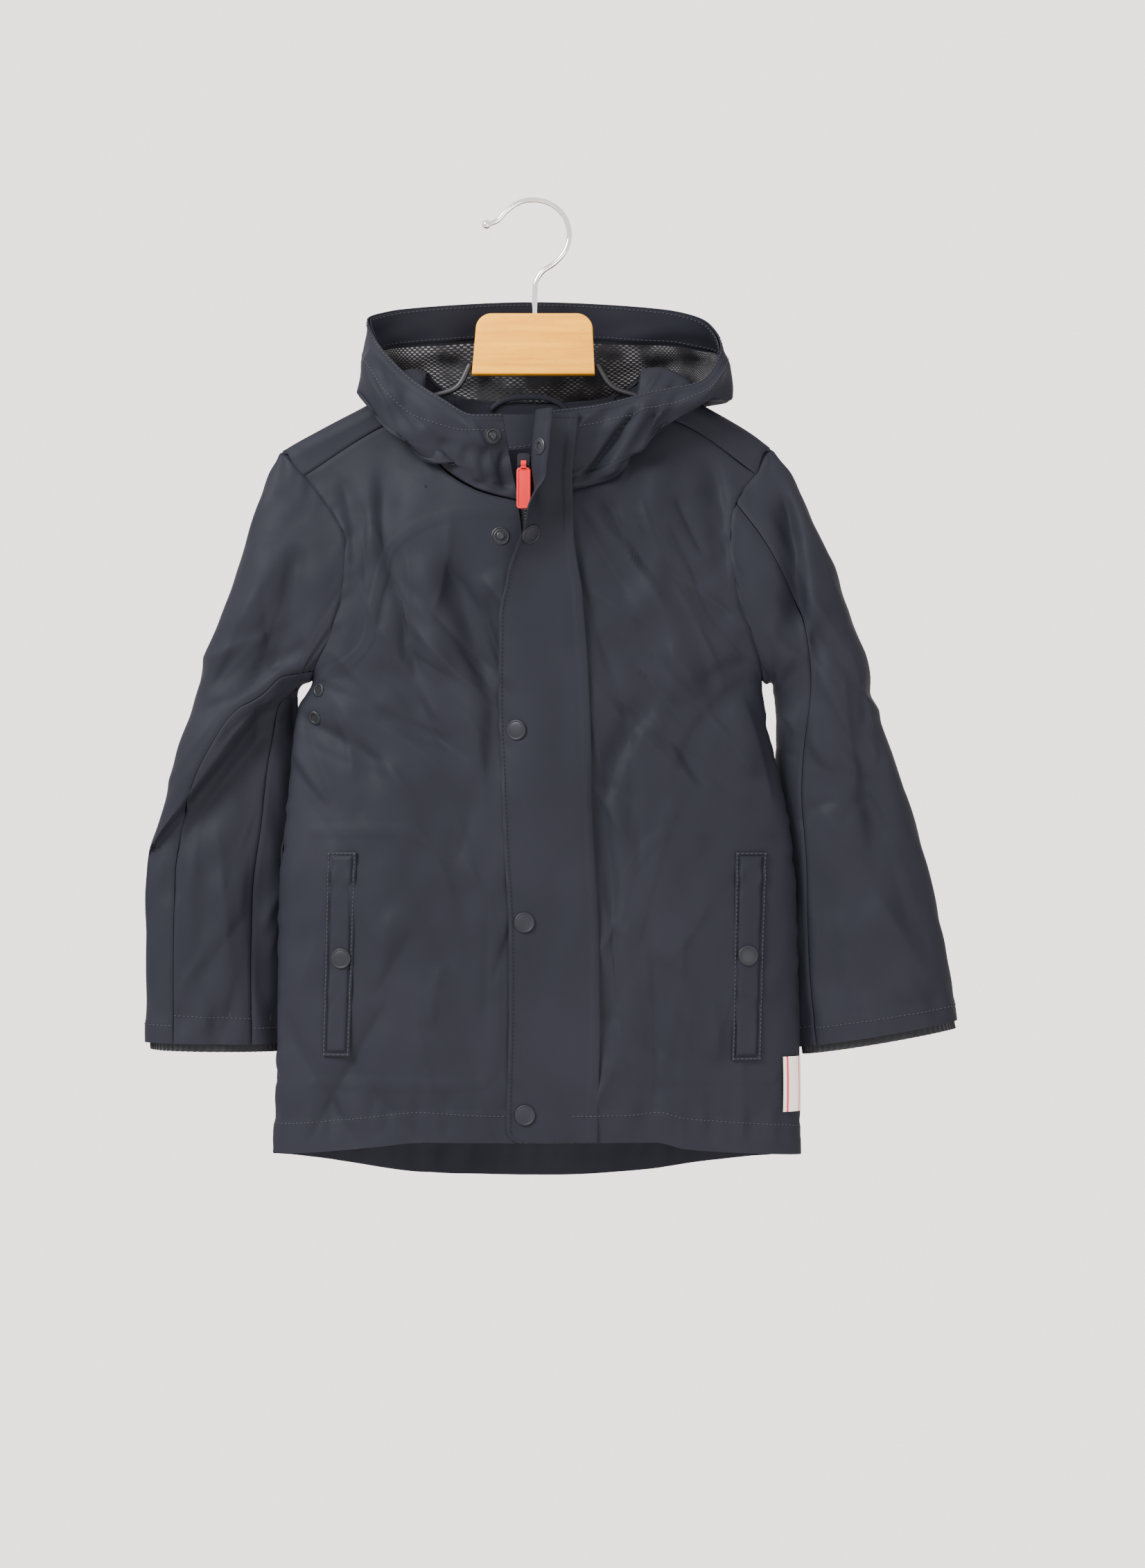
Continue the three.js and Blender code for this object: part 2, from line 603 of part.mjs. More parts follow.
function facePoint(x, z, lift) {
  const low = frontPoint(x, z);
  const high = smooth((z + 232) / 20);
  return new THREE.Vector3(x, mix(low.y, collar(z), high) - lift, z);
}

const frontRight = frontPanel('front_right', 'right');
const frontLeft = frontPanel('front_left', 'left');
const hoodParts = hoodPieces();

// Storm flap: rows across the zip, from the seam to the free edge, which curls open at the top

const flapCloth = 1.6;
const flapLift = 3;
const flapTop = -156;
const flapBottom = -675;
const flapCorner = 10;
const flapShape = tracks('z seam width curl', [
  [-156, 32, 55, 1],
  [-183, 28.5, 55, 1],
  [-199, 27, 53, 0.95],
  [-219, 27.5, 46, 0.6],
  [-239, 28, 40, 0.3],
  [-250, 29, 42.5, 0.16],
  [-266, 31.5, 50, 0.06],
  [-280, 34, 55, 0.02],
  [-295, 35, 59.5, 0],
  [-317, 37, 62, 0],
  [-375, 40, 65.5, 0],
  [-425, 41.5, 64.5, 0],
  [-472, 43.5, 64.5, 0],
  [-518, 46.3, 64.5, 0],
  [-580, 47, 65, 0],
  [-652, 45.5, 65, 0],
  [-676, 45, 64.5, 0],
]);
const flapHeading = (s, width, curl) => {
  const roll = 20;
  const flatEdge = 12;
  const lean = 25 * smooth(s / 20) + 105 * smooth((s - width + roll + flatEdge) / roll);
  return THREE.MathUtils.degToRad(curl * lean);
};

function flapPoint(u, v) {
  const cornerStart = 0.88;
  const z = v < cornerStart
    ? mix(flapTop, flapBottom + flapCorner, v / cornerStart)
    : mix(flapBottom + flapCorner, flapBottom, (v - cornerStart) / (1 - cornerStart));
  const low = Math.max(0, flapBottom + flapCorner - z);
  const width = flapShape.width(z) - flapCorner + Math.sqrt(flapCorner ** 2 - low ** 2);
  const curl = Math.max(0, flapShape.curl(z));
  const steps = 16;
  let x = flapShape.seam(z);
  let forward = 0;
  for (let i = 0; i < steps; i += 1) {
    const heading = flapHeading(u * width * ((i + 0.5) / steps), width, curl);
    x -= Math.cos(heading) * u * (width / steps);
    forward += Math.sin(heading) * u * (width / steps);
  }
  return facePoint(x, z, flapLift + forward);
}

const flap = wall('flap', colours.shell, flapPoint, {
  across: 8, down: 22, inward: -1, thickness: flapCloth,
});

// Zip, chin guard and the pieces at the neck

const tape = tracks('z right left', [[-186, -11, 12.8], [-222, -10.6, 13], [-245, -13, 19], [-668, -13, 19]]);
const zipTape = wall('zip_tape', colours.rib, (u, v) => {
  const z = mix(-186, -668, v);
  return facePoint(mix(tape.right(z), tape.left(z), u), z, -2.3);
}, { across: 2, down: 16, inward: 1, thickness: 0.8 });
const chinGuard = wall('chin_guard', colours.shell, (u, v) => {
  const z = mix(-157, -182, v);
  const edge = mix(-22.4, -18, v);
  return facePoint(mix(edge, 11.2, u), z + 6 * v * u * u, -0.4);
}, { across: 4, down: 4, inward: 1, thickness: 1 });

const neckFacing = wall('neck_facing', colours.shell, (u, v) => {
  const k = mix(5.4, 8.6, u) / lastStation;
  return wrapPoint(angleAt(neckX(k), neckZ(k)), neckWay(k) + mix(1, 15, v));
}, { across: 12, down: 2, inward: -1, inset: cloth + seamGap, thickness: liningCloth });

const hangLoop = wall('hang_loop', colours.shell, (u, v) => new THREE.Vector3(
  mix(-32, 23, u), 9.8 - 1.4 * Math.sin(Math.PI * u), -137 - 9 * Math.abs(2 * u - 1) ** 3 - 4 * v,
), { across: 12, down: 1, inward: 1, thickness: 1 });

// Pieces that lie on the fronts

const weltCorners = {
  right: { top: [-148, -127], bottom: [-151.5, -132], levels: [-468, -614] },
  left: { top: [144, 166.5], bottom: [141, 162], levels: [-468, -617] },
};
const weltLift = 1.9;
const welts = ['right', 'left'].map((wearer) => {
  const { top, bottom, levels } = weltCorners[wearer];
  const point = (u, v) => frontPoint(mix(mix(...top, u), mix(...bottom, u), v), mix(...levels, v), weltLift);
  return wall(`welt_${wearer}`, colours.shell, point, { across: 3, down: 10, inward: 1 });
});

const sideLabel = wall('side_label', colours.label, (u, v) => {
  const z = mix(-615, -654.5, v);
  return bodyPoint(mix(angleAt(178.5, z), Math.PI / 2 - 0.02, u), z, -1, 1.6);
}, { across: 5, down: 2, inward: 1, thickness: 0.8 });

// Snaps and eyelets: turned profiles as [radius, height] from the cloth outwards

const profiles = {
  cap: [[0, 0], [6.9, 0], [7.5, 0.6], [7.3, 1.4], [6.3, 1.9], [5.6, 1.6], [0, 2]],
  stud: [[0, 0], [5.6, 0], [5.6, 0.8], [2.6, 1], [2.2, 2], [2.6, 2.8], [1.8, 3.3], [0, 3.3]],
  socket: [[0, 0], [5.8, 0], [5.8, 1.2], [4.6, 1.7], [2.8, 1.6], [2.4, 0.6], [0, 0.6]],
  eyelet: [[2.8, 0], [5.25, 0], [5.25, 0.5], [4.1, 1.1], [2.8, 0.8], [2.8, 0]],
};

function turned(name, profile, material, place, outward) {
  const points = profiles[profile].map(([radius, height]) => new THREE.Vector2(radius, height));
  const mesh = new THREE.Mesh(new THREE.LatheGeometry(points, 11), material);
  mesh.name = name;
  mesh.position.copy(place);
  mesh.quaternion.setFromUnitVectors(new THREE.Vector3(0, 1, 0), outward);
  return mesh;
}

// A turned piece on the outside of a carrier at (x, z), just clear of the facets under its rim.
function seated(name, profile, material, carrier, x, z) {
  const caster = new THREE.Raycaster();
  const under = (px, pz) => {
    caster.set(new THREE.Vector3(px, -200, pz), new THREE.Vector3(0, 1, 0));
    return caster.intersectObject(carrier)[0].point;
  };
  const reach = Math.max(...profiles[profile].map(([radius]) => radius));
  const across = under(x + reach, z).sub(under(x - reach, z));
  const down = under(x, z - reach).sub(under(x, z + reach));
  const outward = down.cross(across).normalize();
  const centre = under(x, z);
  const sides = 12;
  let lift = 0;
  for (let i = 0; i < sides; i += 1) {
    const turn = (2 * Math.PI * i) / sides;
    const rim = under(x + reach * Math.cos(turn), z + reach * Math.sin(turn));
    lift = Math.max(lift, rim.sub(centre).dot(outward));
  }
  return turned(name, profile, material, centre.addScaledVector(outward, lift + 0.35), outward);
}

function onFlap(name, profile, u, v, outside) {
  const outward = normalOf(flapPoint, u, v).multiplyScalar(outside ? 1 : -1);
  const place = flapPoint(u, v).addScaledVector(outward, outside ? 1 : flapCloth + 0.7);
  return turned(name, profile, outside ? colours.cap : colours.nickel, place, outward);
}

const trims = [
  seated('snap_flap_3', 'cap', colours.cap, flap, -12.6, -381),
  seated('snap_flap_4', 'cap', colours.cap, flap, -7, -518),
  seated('snap_flap_5', 'cap', colours.cap, flap, -6.5, -655),
  seated('snap_pocket_right', 'cap', colours.cap, welts[0], -138, -544),
  seated('snap_pocket_left', 'cap', colours.cap, welts[1], 152.5, -542),
  onFlap('snap_flap_1', 'cap', 0.84, 0.045, true),
  onFlap('snap_flap_2', 'cap', 0.8, 0.15, true),
  onFlap('snap_socket', 'socket', 0.84, 0.045, false),
  seated('stud_collar', 'stud', colours.nickel, hoodParts[0], -29.5, -172),
  seated('stud_front', 'stud', colours.nickel, frontRight, -24, -243),
  seated('eyelet_1', 'eyelet', colours.nickel, frontRight, -155, -352),
  seated('eyelet_2', 'eyelet', colours.nickel, frontRight, -158, -372),
];

// Solids joined from simple bodies

function solidOf(geometry) {
  const bare = geometry.clone();
  bare.deleteAttribute('normal');
  bare.deleteAttribute('uv');
  const merged = mergeVertices(bare);
  return new wasm.Manifold(new wasm.Mesh({
    numProp: 3,
    vertProperties: new Float32Array(merged.getAttribute('position').array),
    triVerts: new Uint32Array(merged.index.array),
  }));
}

function united(name, material, geometries) {
  const { vertProperties, triVerts } = geometries.map(solidOf).reduce((all, next) => all.add(next)).getMesh();
  return closedMesh(name, material, Array.from(vertProperties), Array.from(triVerts));
}

function roundedPlate(width, height, radius, depth) {
  const shape = new THREE.Shape();
  const x = width / 2;
  const z = height / 2;
  shape.moveTo(-x + radius, -z);
  shape.lineTo(x - radius, -z);
  shape.absarc(x - radius, -z + radius, radius, -Math.PI / 2, 0);
  shape.absarc(x - radius, z - radius, radius, 0, Math.PI / 2);
  shape.absarc(-x + radius, z - radius, radius, Math.PI / 2, Math.PI);
  shape.absarc(-x + radius, -z + radius, radius, Math.PI, 1.5 * Math.PI);
  return new THREE.ExtrudeGeometry(shape, { depth, bevelEnabled: false, curveSegments: 3 })
    .translate(0, 0, -depth / 2)
    .rotateX(Math.PI / 2);
}

// Zip slider with a cross pin, and the pull tab that swings on it

const pin = { x: -7.5, y: -41.6, z: -192, radius: 0.8, length: 8 };
const pinGeometry = new THREE.CylinderGeometry(pin.radius, pin.radius, pin.length, 10)
  .rotateZ(Math.PI / 2)
  .translate(pin.x, pin.y, pin.z);
const sliderBody = roundedPlate(9, 12, 2, 3.4).translate(pin.x, -37.6, -190.5);
const sliderLugs = [-1, 1].map((end) => new THREE.BoxGeometry(1.4, 5.4, 3).translate(
  pin.x + end * (pin.length / 2 - 0.7), pin.y + 1.4, pin.z,
));
const slider = united('zip_slider', colours.nickel, [sliderBody, pinGeometry, ...sliderLugs]);

const knuckle = new THREE.Shape();
knuckle.absarc(0, 0, 2.2, 0, 2 * Math.PI);
knuckle.holes.push(new THREE.Path().absarc(0, 0, 1.2, 0, 2 * Math.PI, true));
const knuckleSize = { depth: 4, bevelEnabled: false, curveSegments: 7 };
const knuckleGeometry = new THREE.ExtrudeGeometry(knuckle, knuckleSize)
  .translate(0, 0, -2)
  .rotateY(Math.PI / 2)
  .translate(pin.x, pin.y, pin.z);
const tabLength = 29;
const tabThickness = 2.2;
const neck = new THREE.BoxGeometry(4, tabThickness, 3).translate(pin.x, pin.y, pin.z - 2.9);
const tab = roundedPlate(10, tabLength, 2.5, tabThickness).translate(pin.x, pin.y, pin.z - 3 - tabLength / 2);
const pull = united('zip_pull', colours.rubber, [knuckleGeometry, neck, tab]);

// Hanger: wooden head plate, hook and two wire arms

const plateShape = new THREE.Shape();
plateShape.moveTo(-45.3, -124.4);
plateShape.lineTo(43.2, -124.4);
plateShape.lineTo(41.7, -92);
plateShape.absarc(30.2, -92, 11.5, 0, Math.PI / 2);
plateShape.absarc(-31, -92, 11.5, Math.PI / 2, Math.PI);
const plate = new THREE.Mesh(
  new THREE.ExtrudeGeometry(plateShape, { depth: 12, bevelEnabled: false, curveSegments: 5 })
    .translate(0, 0, -6)
    .rotateX(Math.PI / 2),
  colours.wood,
);
plate.name = 'hanger_plate';

function wire(points, radius, steps) {
  const curve = new THREE.CatmullRomCurve3(points.map(([x, z]) => new THREE.Vector3(x, 0, z)));
  const section = new THREE.Shape();
  section.absarc(0, 0, radius, 0, 2 * Math.PI);
  return new THREE.ExtrudeGeometry(section, { steps, extrudePath: curve, curveSegments: 4 });
}
const wireRadius = 1.9;
const hookRoute = [
  [-34.8, -15.9], [-27, -13], [-20.7, -6.4], [-11, 0.2], [0, wireRadius], [12.4, -1.5], [21.6, -10.6],
  [24.9, -23],
  [21.6, -35.4], [14, -43.8], [5.4, -49.8], [0.9, -57], [0, -66], [0, -80],
];
const hook = united('hanger_hook', colours.chrome, [
  wire(hookRoute, wireRadius, 30),
  new THREE.SphereGeometry(3.3, 10, 7).translate(-34.8, 0, -15.9),
]);
const armRadius = 2.2;
const arms = [['right', -1], ['left', 1]].map(([wearer, sign]) => {
  const start = sign < 0 ? -46.7 : 44.7;
  const route = [
    [start, -117], [sign * 56, -133], [sign * 72, -139], [sign * 98, -142.4], [sign * 164, -178],
  ];
  const mesh = new THREE.Mesh(wire(route, armRadius, 9), colours.chrome);
  mesh.name = `hanger_arm_${wearer}`;
  return mesh;
});

const coat = new THREE.Group();
coat.add(frontRight, frontLeft, backPanel());
coat.add(...sleevePieces('right'));
coat.add(...sleevePieces('left'));
coat.add(...hoodParts);
coat.add(flap, zipTape, chinGuard, neckFacing, hangLoop, ...welts, sideLabel);
coat.add(...trims, slider, pull);
coat.add(plate, hook, ...arms);

export default coat;
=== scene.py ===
import math

import bpy
import numpy as np
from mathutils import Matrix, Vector
from mathutils.bvhtree import BVHTree


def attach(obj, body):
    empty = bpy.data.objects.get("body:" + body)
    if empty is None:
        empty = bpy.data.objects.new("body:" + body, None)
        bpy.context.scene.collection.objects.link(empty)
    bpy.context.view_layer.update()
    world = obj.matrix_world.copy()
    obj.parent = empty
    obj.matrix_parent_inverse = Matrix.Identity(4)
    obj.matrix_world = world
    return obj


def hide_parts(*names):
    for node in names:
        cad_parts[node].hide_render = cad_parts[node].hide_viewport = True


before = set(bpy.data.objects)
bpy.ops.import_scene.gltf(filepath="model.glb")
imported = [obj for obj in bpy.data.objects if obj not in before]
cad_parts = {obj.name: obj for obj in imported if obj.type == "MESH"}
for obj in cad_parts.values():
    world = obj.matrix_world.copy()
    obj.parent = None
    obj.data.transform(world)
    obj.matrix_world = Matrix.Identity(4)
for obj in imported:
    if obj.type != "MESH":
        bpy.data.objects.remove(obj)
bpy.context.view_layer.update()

# Back panel. Rubber-coated jersey, cut in one piece that wraps forward over the shoulders and
# falls to a dropped tail. Its shoulder, armhole and side edges are sewn to the fronts and sleeves,
# and the tail is turned up once and stitched. Lengths are in millimetres until a mesh is made.

MM = 0.001
CLOTH = 1.2
SEAM_GAP = 0.4
SEWN_ROLL = (2.2, 0.8)
sign_of = {"right": -1, "left": 1}


def mix(a, b, share):
    return a + (b - a) * share


def smooth(share):
    t = np.clip(share, 0, 1)
    return t * t * (3 - 2 * t)


def glide(keys, values):
    """A smooth line through (keys, values) that never overshoots them."""
    keys = np.asarray(keys, float)
    values = np.asarray(values, float)
    if keys[-1] < keys[0]:
        keys, values = keys[::-1], values[::-1]
    steps = np.diff(values) / np.diff(keys)
    before, after = steps[:-1], steps[1:]
    turning = before * after <= 0
    between = 2 * before * after / np.where(turning, 1, before + after)
    slopes = np.concatenate([steps[:1], np.where(turning, 0, between), steps[-1:]])

    def at(key):
        key = np.asarray(key, float)
        i = np.clip(np.searchsorted(keys, key) - 1, 0, len(keys) - 2)
        span = keys[i + 1] - keys[i]
        t = np.clip((key - keys[i]) / span, 0, 1)
        curve = values[i] * (2 * t**3 - 3 * t**2 + 1) + values[i + 1] * (3 * t**2 - 2 * t**3)
        curve += span * (slopes[i] * (t**3 - 2 * t**2 + t) + slopes[i + 1] * (t**3 - t**2))
        before_first = np.minimum(0, key - keys[i]) * slopes[i]
        past_last = np.maximum(0, key - keys[i + 1]) * slopes[i + 1]
        return curve + before_first + past_last

    return at


def columns(names, rows):
    """A table with named columns: one smooth line for each column after the first."""
    keys = [row[0] for row in rows]
    return {
        name: glide(keys, [row[i + 1] for row in rows])
        for i, name in enumerate(names.split()[1:])
    }


def route(points):
    """A smooth path through points, with t from 0 to 1 along its length."""
    points = np.asarray(points, float)
    lengths = np.concatenate([[0], np.cumsum(np.linalg.norm(np.diff(points, axis=0), axis=1))])
    parts = [glide(lengths, column) for column in points.T]
    return lambda t: np.stack([part(np.asarray(t) * lengths[-1]) for part in parts], -1)


def beside(line, x, z):
    """How far (x, z) is from a line, where along it from 0 to 1, and on which side."""
    steps = np.diff(line, axis=0)
    lengths = np.hypot(*steps.T)
    passed = np.concatenate([[0], np.cumsum(lengths)])
    away = np.full(np.shape(x), np.inf)
    along = np.zeros(np.shape(x))
    side = np.zeros(np.shape(x))
    for (x0, z0), (dx, dz), length, start in zip(line, steps, lengths, passed):
        t = np.clip(((x - x0) * dx + (z - z0) * dz) / length**2, 0, 1)
        distance = np.hypot(x - x0 - t * dx, z - z0 - t * dz)
        closer = distance < away
        away = np.where(closer, distance, away)
        along = np.where(closer, (start + t * length) / passed[-1], along)
        side = np.where(closer, np.sign(dx * (z - z0) - dz * (x - x0)), side)
    return away, along, side


def folds(rows, crisp=False):
    """How deep a set of folds dips. A row is line, width, depth and lean: a negative depth is a
    ridge, and lean makes the fold steeper on one side of its line than on the other. A crisp fold
    runs straight down to its line, a soft one is rounded there."""

    def at(x, z):
        x, z = np.broadcast_arrays(np.asarray(x, float), z)
        total = np.zeros(x.shape)
        for line, width, depth, lean in rows:
            bent = route(line)(np.linspace(0, 1, 5 * len(line)))
            (left, low), (right, high) = bent.min(axis=0) - 4 * width, bent.max(axis=0) + 4 * width
            near = (x > left) & (x < right) & (z > low) & (z < high)
            if near.any():
                away, along, side = beside(bent, x[near], z[near])
                fade = smooth(along / 0.25) * smooth((1 - along) / 0.25)
                far = away / (width * (1 + lean * side))
                total[near] += depth * fade * np.exp(-np.hypot(far, 0.1) if crisp else -far**2)
        return total

    return at


def rumple(seed, length, height, stretch=1.0):
    """Soft uneven waves about length long and height high, stretched along Z."""
    chance = np.random.default_rng(seed)
    waves = 28
    turn = chance.uniform(0, 2 * math.pi, waves)
    size = length * chance.uniform(0.6, 1.9, waves)
    phase = chance.uniform(0, 2 * math.pi, waves)

    def at(x, z):
        bend_x = x + 9 * np.sin(z / 47 + seed)
        bend_z = z + 9 * np.sin(x / 39 + seed)
        total = np.zeros(np.broadcast(x, z).shape)
        for angle, wave, start in zip(turn, size, phase):
            way = bend_x * math.cos(angle) + bend_z / stretch * math.sin(angle)
            total += np.sin(way * 2 * math.pi / wave + start)
        return height * total / math.sqrt(waves / 2)

    return at


def crumpled(seed, count, low, high, way, turn, depth):
    """Rows of creases whose middles are scattered from corner low to corner high of (x, z). They
    run at about way degrees from the X axis, give or take turn, and rise or dip by up to depth."""
    chance = np.random.default_rng(seed)
    rows = []
    for _ in range(count):
        heading = math.radians(way + chance.normal(0, turn))
        length = chance.uniform(50, 150)
        bend = chance.uniform(-0.25, 0.25)
        line = [chance.uniform(low, high) - length / 2 * np.array([math.cos(heading), math.sin(heading)])]
        for step in range(3):
            line.append(line[-1] + length / 3 * np.array([math.cos(heading), math.sin(heading)]))
            heading += bend * chance.uniform(0.3, 1)
        width = chance.uniform(3, 9)
        slope = 0.38 * depth * chance.uniform(0.5, 1) * chance.choice([-1, 1])
        rows.append((line, width, slope * width, chance.uniform(-0.5, 0.5)))
    return rows


SHOULDER_RADIUS = 12
SHOULDER_REACH = 100
ROUNDNESS = 2.3
body = columns("z right left front back", [
    (-118, -180, 172, 30, 24), (-150, -185, 176, 31, 25), (-180, -189, 178, 32, 26),
    (-200, -196, 187, 34, 27), (-250, -203, 200, 36, 28), (-290, -195, 193, 36, 29),
    (-325, -178, 178, 36, 29), (-346, -161, 164, 36, 30), (-357, -166, 165, 36, 30),
    (-366, -172, 166, 36, 30), (-407, -176, 175, 35, 30), (-456, -181, 185, 34, 30),
    (-505, -185, 189, 34, 30), (-590, -186, 191, 34, 30), (-684, -189, 192, 34, 32),
])
ridge = columns("x z", [
    (-200, -191), (-183, -180), (-157, -165), (-128, -150), (-78, -124), (-40, -114),
    (40, -114), (78, -124), (128, -150), (155, -166), (171, -178), (190, -192),
])["z"]

# Each row: the fold's line in (x, z), its width, its depth and its lean.
front_folds = folds([
    ([(-111, -182), (-108, -216), (-108, -245), (-102, -266), (-93, -295), (-90, -324), (-84, -350)],
     9, 6, 0.3),
    ([(-55, -236), (-59, -275), (-49, -302), (-36, -346), (-28, -370), (-33, -415), (-45, -440)],
     12, 6, 0.3),
    ([(-80, -250), (-74, -300), (-62, -350)], 12, -4, 0),
    ([(-139, -195), (-130, -235), (-128, -270)], 7, 3, 0.2),
    ([(121, -177), (131, -209), (138, -280)], 8, 5, -0.3),
    ([(71, -264), (97, -309), (111, -365)], 13, -5, 0.2),
    ([(95, -335), (83, -360), (59, -400), (48, -440), (54, -490), (57, -560), (60, -625)],
     9, 6, -0.3),
    ([(143, -350), (150, -385), (157, -420)], 10, -3, 0),
    ([(-100, -380), (-96, -470), (-104, -560)], 24, -4, 0),
])
back_folds = folds([
    ([(-60, -230), (-72, -330), (-66, -430)], 14, 5, 0.2),
    ([(50, -240), (66, -350), (58, -470)], 14, 5, -0.2),
    ([(0, -300), (-6, -450), (4, -600)], 20, -4, 0),
    ([(120, -300), (112, -400), (118, -520)], 12, 4, 0.2),
    ([(-124, -310), (-112, -420), (-120, -540)], 12, 4, -0.2),
])


def middle(z):
    return (body["left"](z) + body["right"](z)) / 2


def half_width(z):
    return (body["left"](z) - body["right"](z)) / 2


def angle_at(x, z):
    return np.arcsin(np.clip((x - middle(z)) / half_width(z), -1, 1))


def across_at(angle, z):
    return middle(z) + half_width(z) * np.sin(angle)


def body_at(angle, z, side, lift=0.0):
    """The body's surface: side is -1 for the front and 1 for the back."""
    x = across_at(angle, z)
    drop = np.maximum(0, ridge(x) - z)
    full = np.where(side < 0, body["front"](z), body["back"](z))
    ball = np.sqrt(SHOULDER_RADIUS**2 - (SHOULDER_RADIUS - np.minimum(drop, SHOULDER_RADIUS)) ** 2)
    below = mix(SHOULDER_RADIUS, full, smooth((drop - SHOULDER_RADIUS) / SHOULDER_REACH))
    depth = np.where(drop < SHOULDER_RADIUS, ball, below)
    lens = np.maximum(0, 1 - np.abs(np.sin(angle)) ** ROUNDNESS) ** (1 / ROUNDNESS)
    fold = np.where(side < 0, front_folds(x, z), back_folds(x, z))
    dip = fold * smooth(lens * 1.6) * smooth(drop / 40)
    apart = SEAM_GAP / 2 * smooth(drop / 10)
    return np.stack([x, side * (depth * lens - dip + apart + lift), z + 0 * x], -1)


QUARTER = SHOULDER_RADIUS * math.pi / 2


def drop_of(way):
    """How far below the ridge a point is that lies way over the shoulder, minus in front."""
    far = np.abs(way)
    rolled = SHOULDER_RADIUS * (1 - np.cos(np.minimum(far, QUARTER) / SHOULDER_RADIUS))
    return np.where(far < QUARTER, rolled, SHOULDER_RADIUS + far - QUARTER)


def way_of(x, z, side):
    """How far down over the shoulder (x, z) lies, minus in front: drop_of the other way round."""
    drop = np.maximum(0, ridge(x) - z)
    rolled = SHOULDER_RADIUS * np.arccos(1 - np.minimum(drop, SHOULDER_RADIUS) / SHOULDER_RADIUS)
    return side * np.where(drop < SHOULDER_RADIUS, rolled, QUARTER + drop - SHOULDER_RADIUS)


def wrap_at(angle, way):
    """The body's surface at an angle across it and a way down from the shoulder's ridge."""
    z = np.full(np.broadcast(angle, way).shape, -200.0)
    for _ in range(16):
        z = ridge(across_at(angle, z)) - drop_of(way)
    return body_at(angle, z, np.where(way < 0, -1, 1))


neck_stations = [
    (-12, -218, -1), (-41, -210, -1), (-71, -187, -1), (-80, -150, -1), (-78, -124, 0),
    (-66, -134, 1), (-40, -142, 1), (0, -144, 1), (40, -142, 1), (66, -134, 1), (77, -124, 0),
    (73, -147, -1), (60, -200, -1), (40, -208, -1), (14, -213, -1),
]
LAST_STATION = len(neck_stations) - 1
station_keys = np.arange(LAST_STATION + 1) / LAST_STATION
neck_x = glide(station_keys, [x for x, _, _ in neck_stations])
neck_way = glide(station_keys, [way_of(x, z, side) for x, z, side in neck_stations])


def neck_z(u):
    return ridge(neck_x(u)) - drop_of(neck_way(u))


SHOULDER_END = 3 / LAST_STATION
arm_top = {"right": (-166, -198), "left": (159, -197)}
armpit = {"right": (-161, -346), "left": (164, -346)}
shoulder_tip = {"right": (-183, -180), "left": (171, -178)}
armhole_front = {
    "right": [(-166, -198), (-148, -221), (-135, -246), (-137, -277), (-148, -317), (-157, -335),
              (-161, -346)],
    "left": [(159, -197), (144, -219), (140, -246), (146, -286), (157, -317), (162, -335),
             (164, -346)],
}
armhole_back = {
    "right": [(-183, -180), (-164, -202), (-152, -226), (-146, -252), (-148, -284), (-154, -318),
              (-161, -346)],
    "left": [(171, -178), (158, -202), (149, -226), (146, -252), (149, -284), (156, -318),
             (164, -346)],
}
ARMPIT_ROW = 1 / 3
SHOULDER_SEAM = (113, -164.5)


def patch(top, bottom, start, end):
    """A four-sided patch between a top, a bottom and two side lines of 2-D points."""
    fade = 2.5

    def bend(side, corner, v):
        return side(v) - mix(top(corner), bottom(corner), v[..., None])

    def at(u, v):
        near = (1 - u)[..., None] ** fade * bend(start, np.zeros(1), v)
        far = u[..., None] ** fade * bend(end, np.ones(1), v)
        return mix(top(u), bottom(u), v[..., None]) + near + far

    return at


def to_way(points, side):
    x, z = points[..., 0], points[..., 1]
    return np.stack([angle_at(x, z), way_of(x, z, side)], -1)


def to_angle(points):
    return np.stack([angle_at(points[..., 0], points[..., 1]), points[..., 1]], -1)


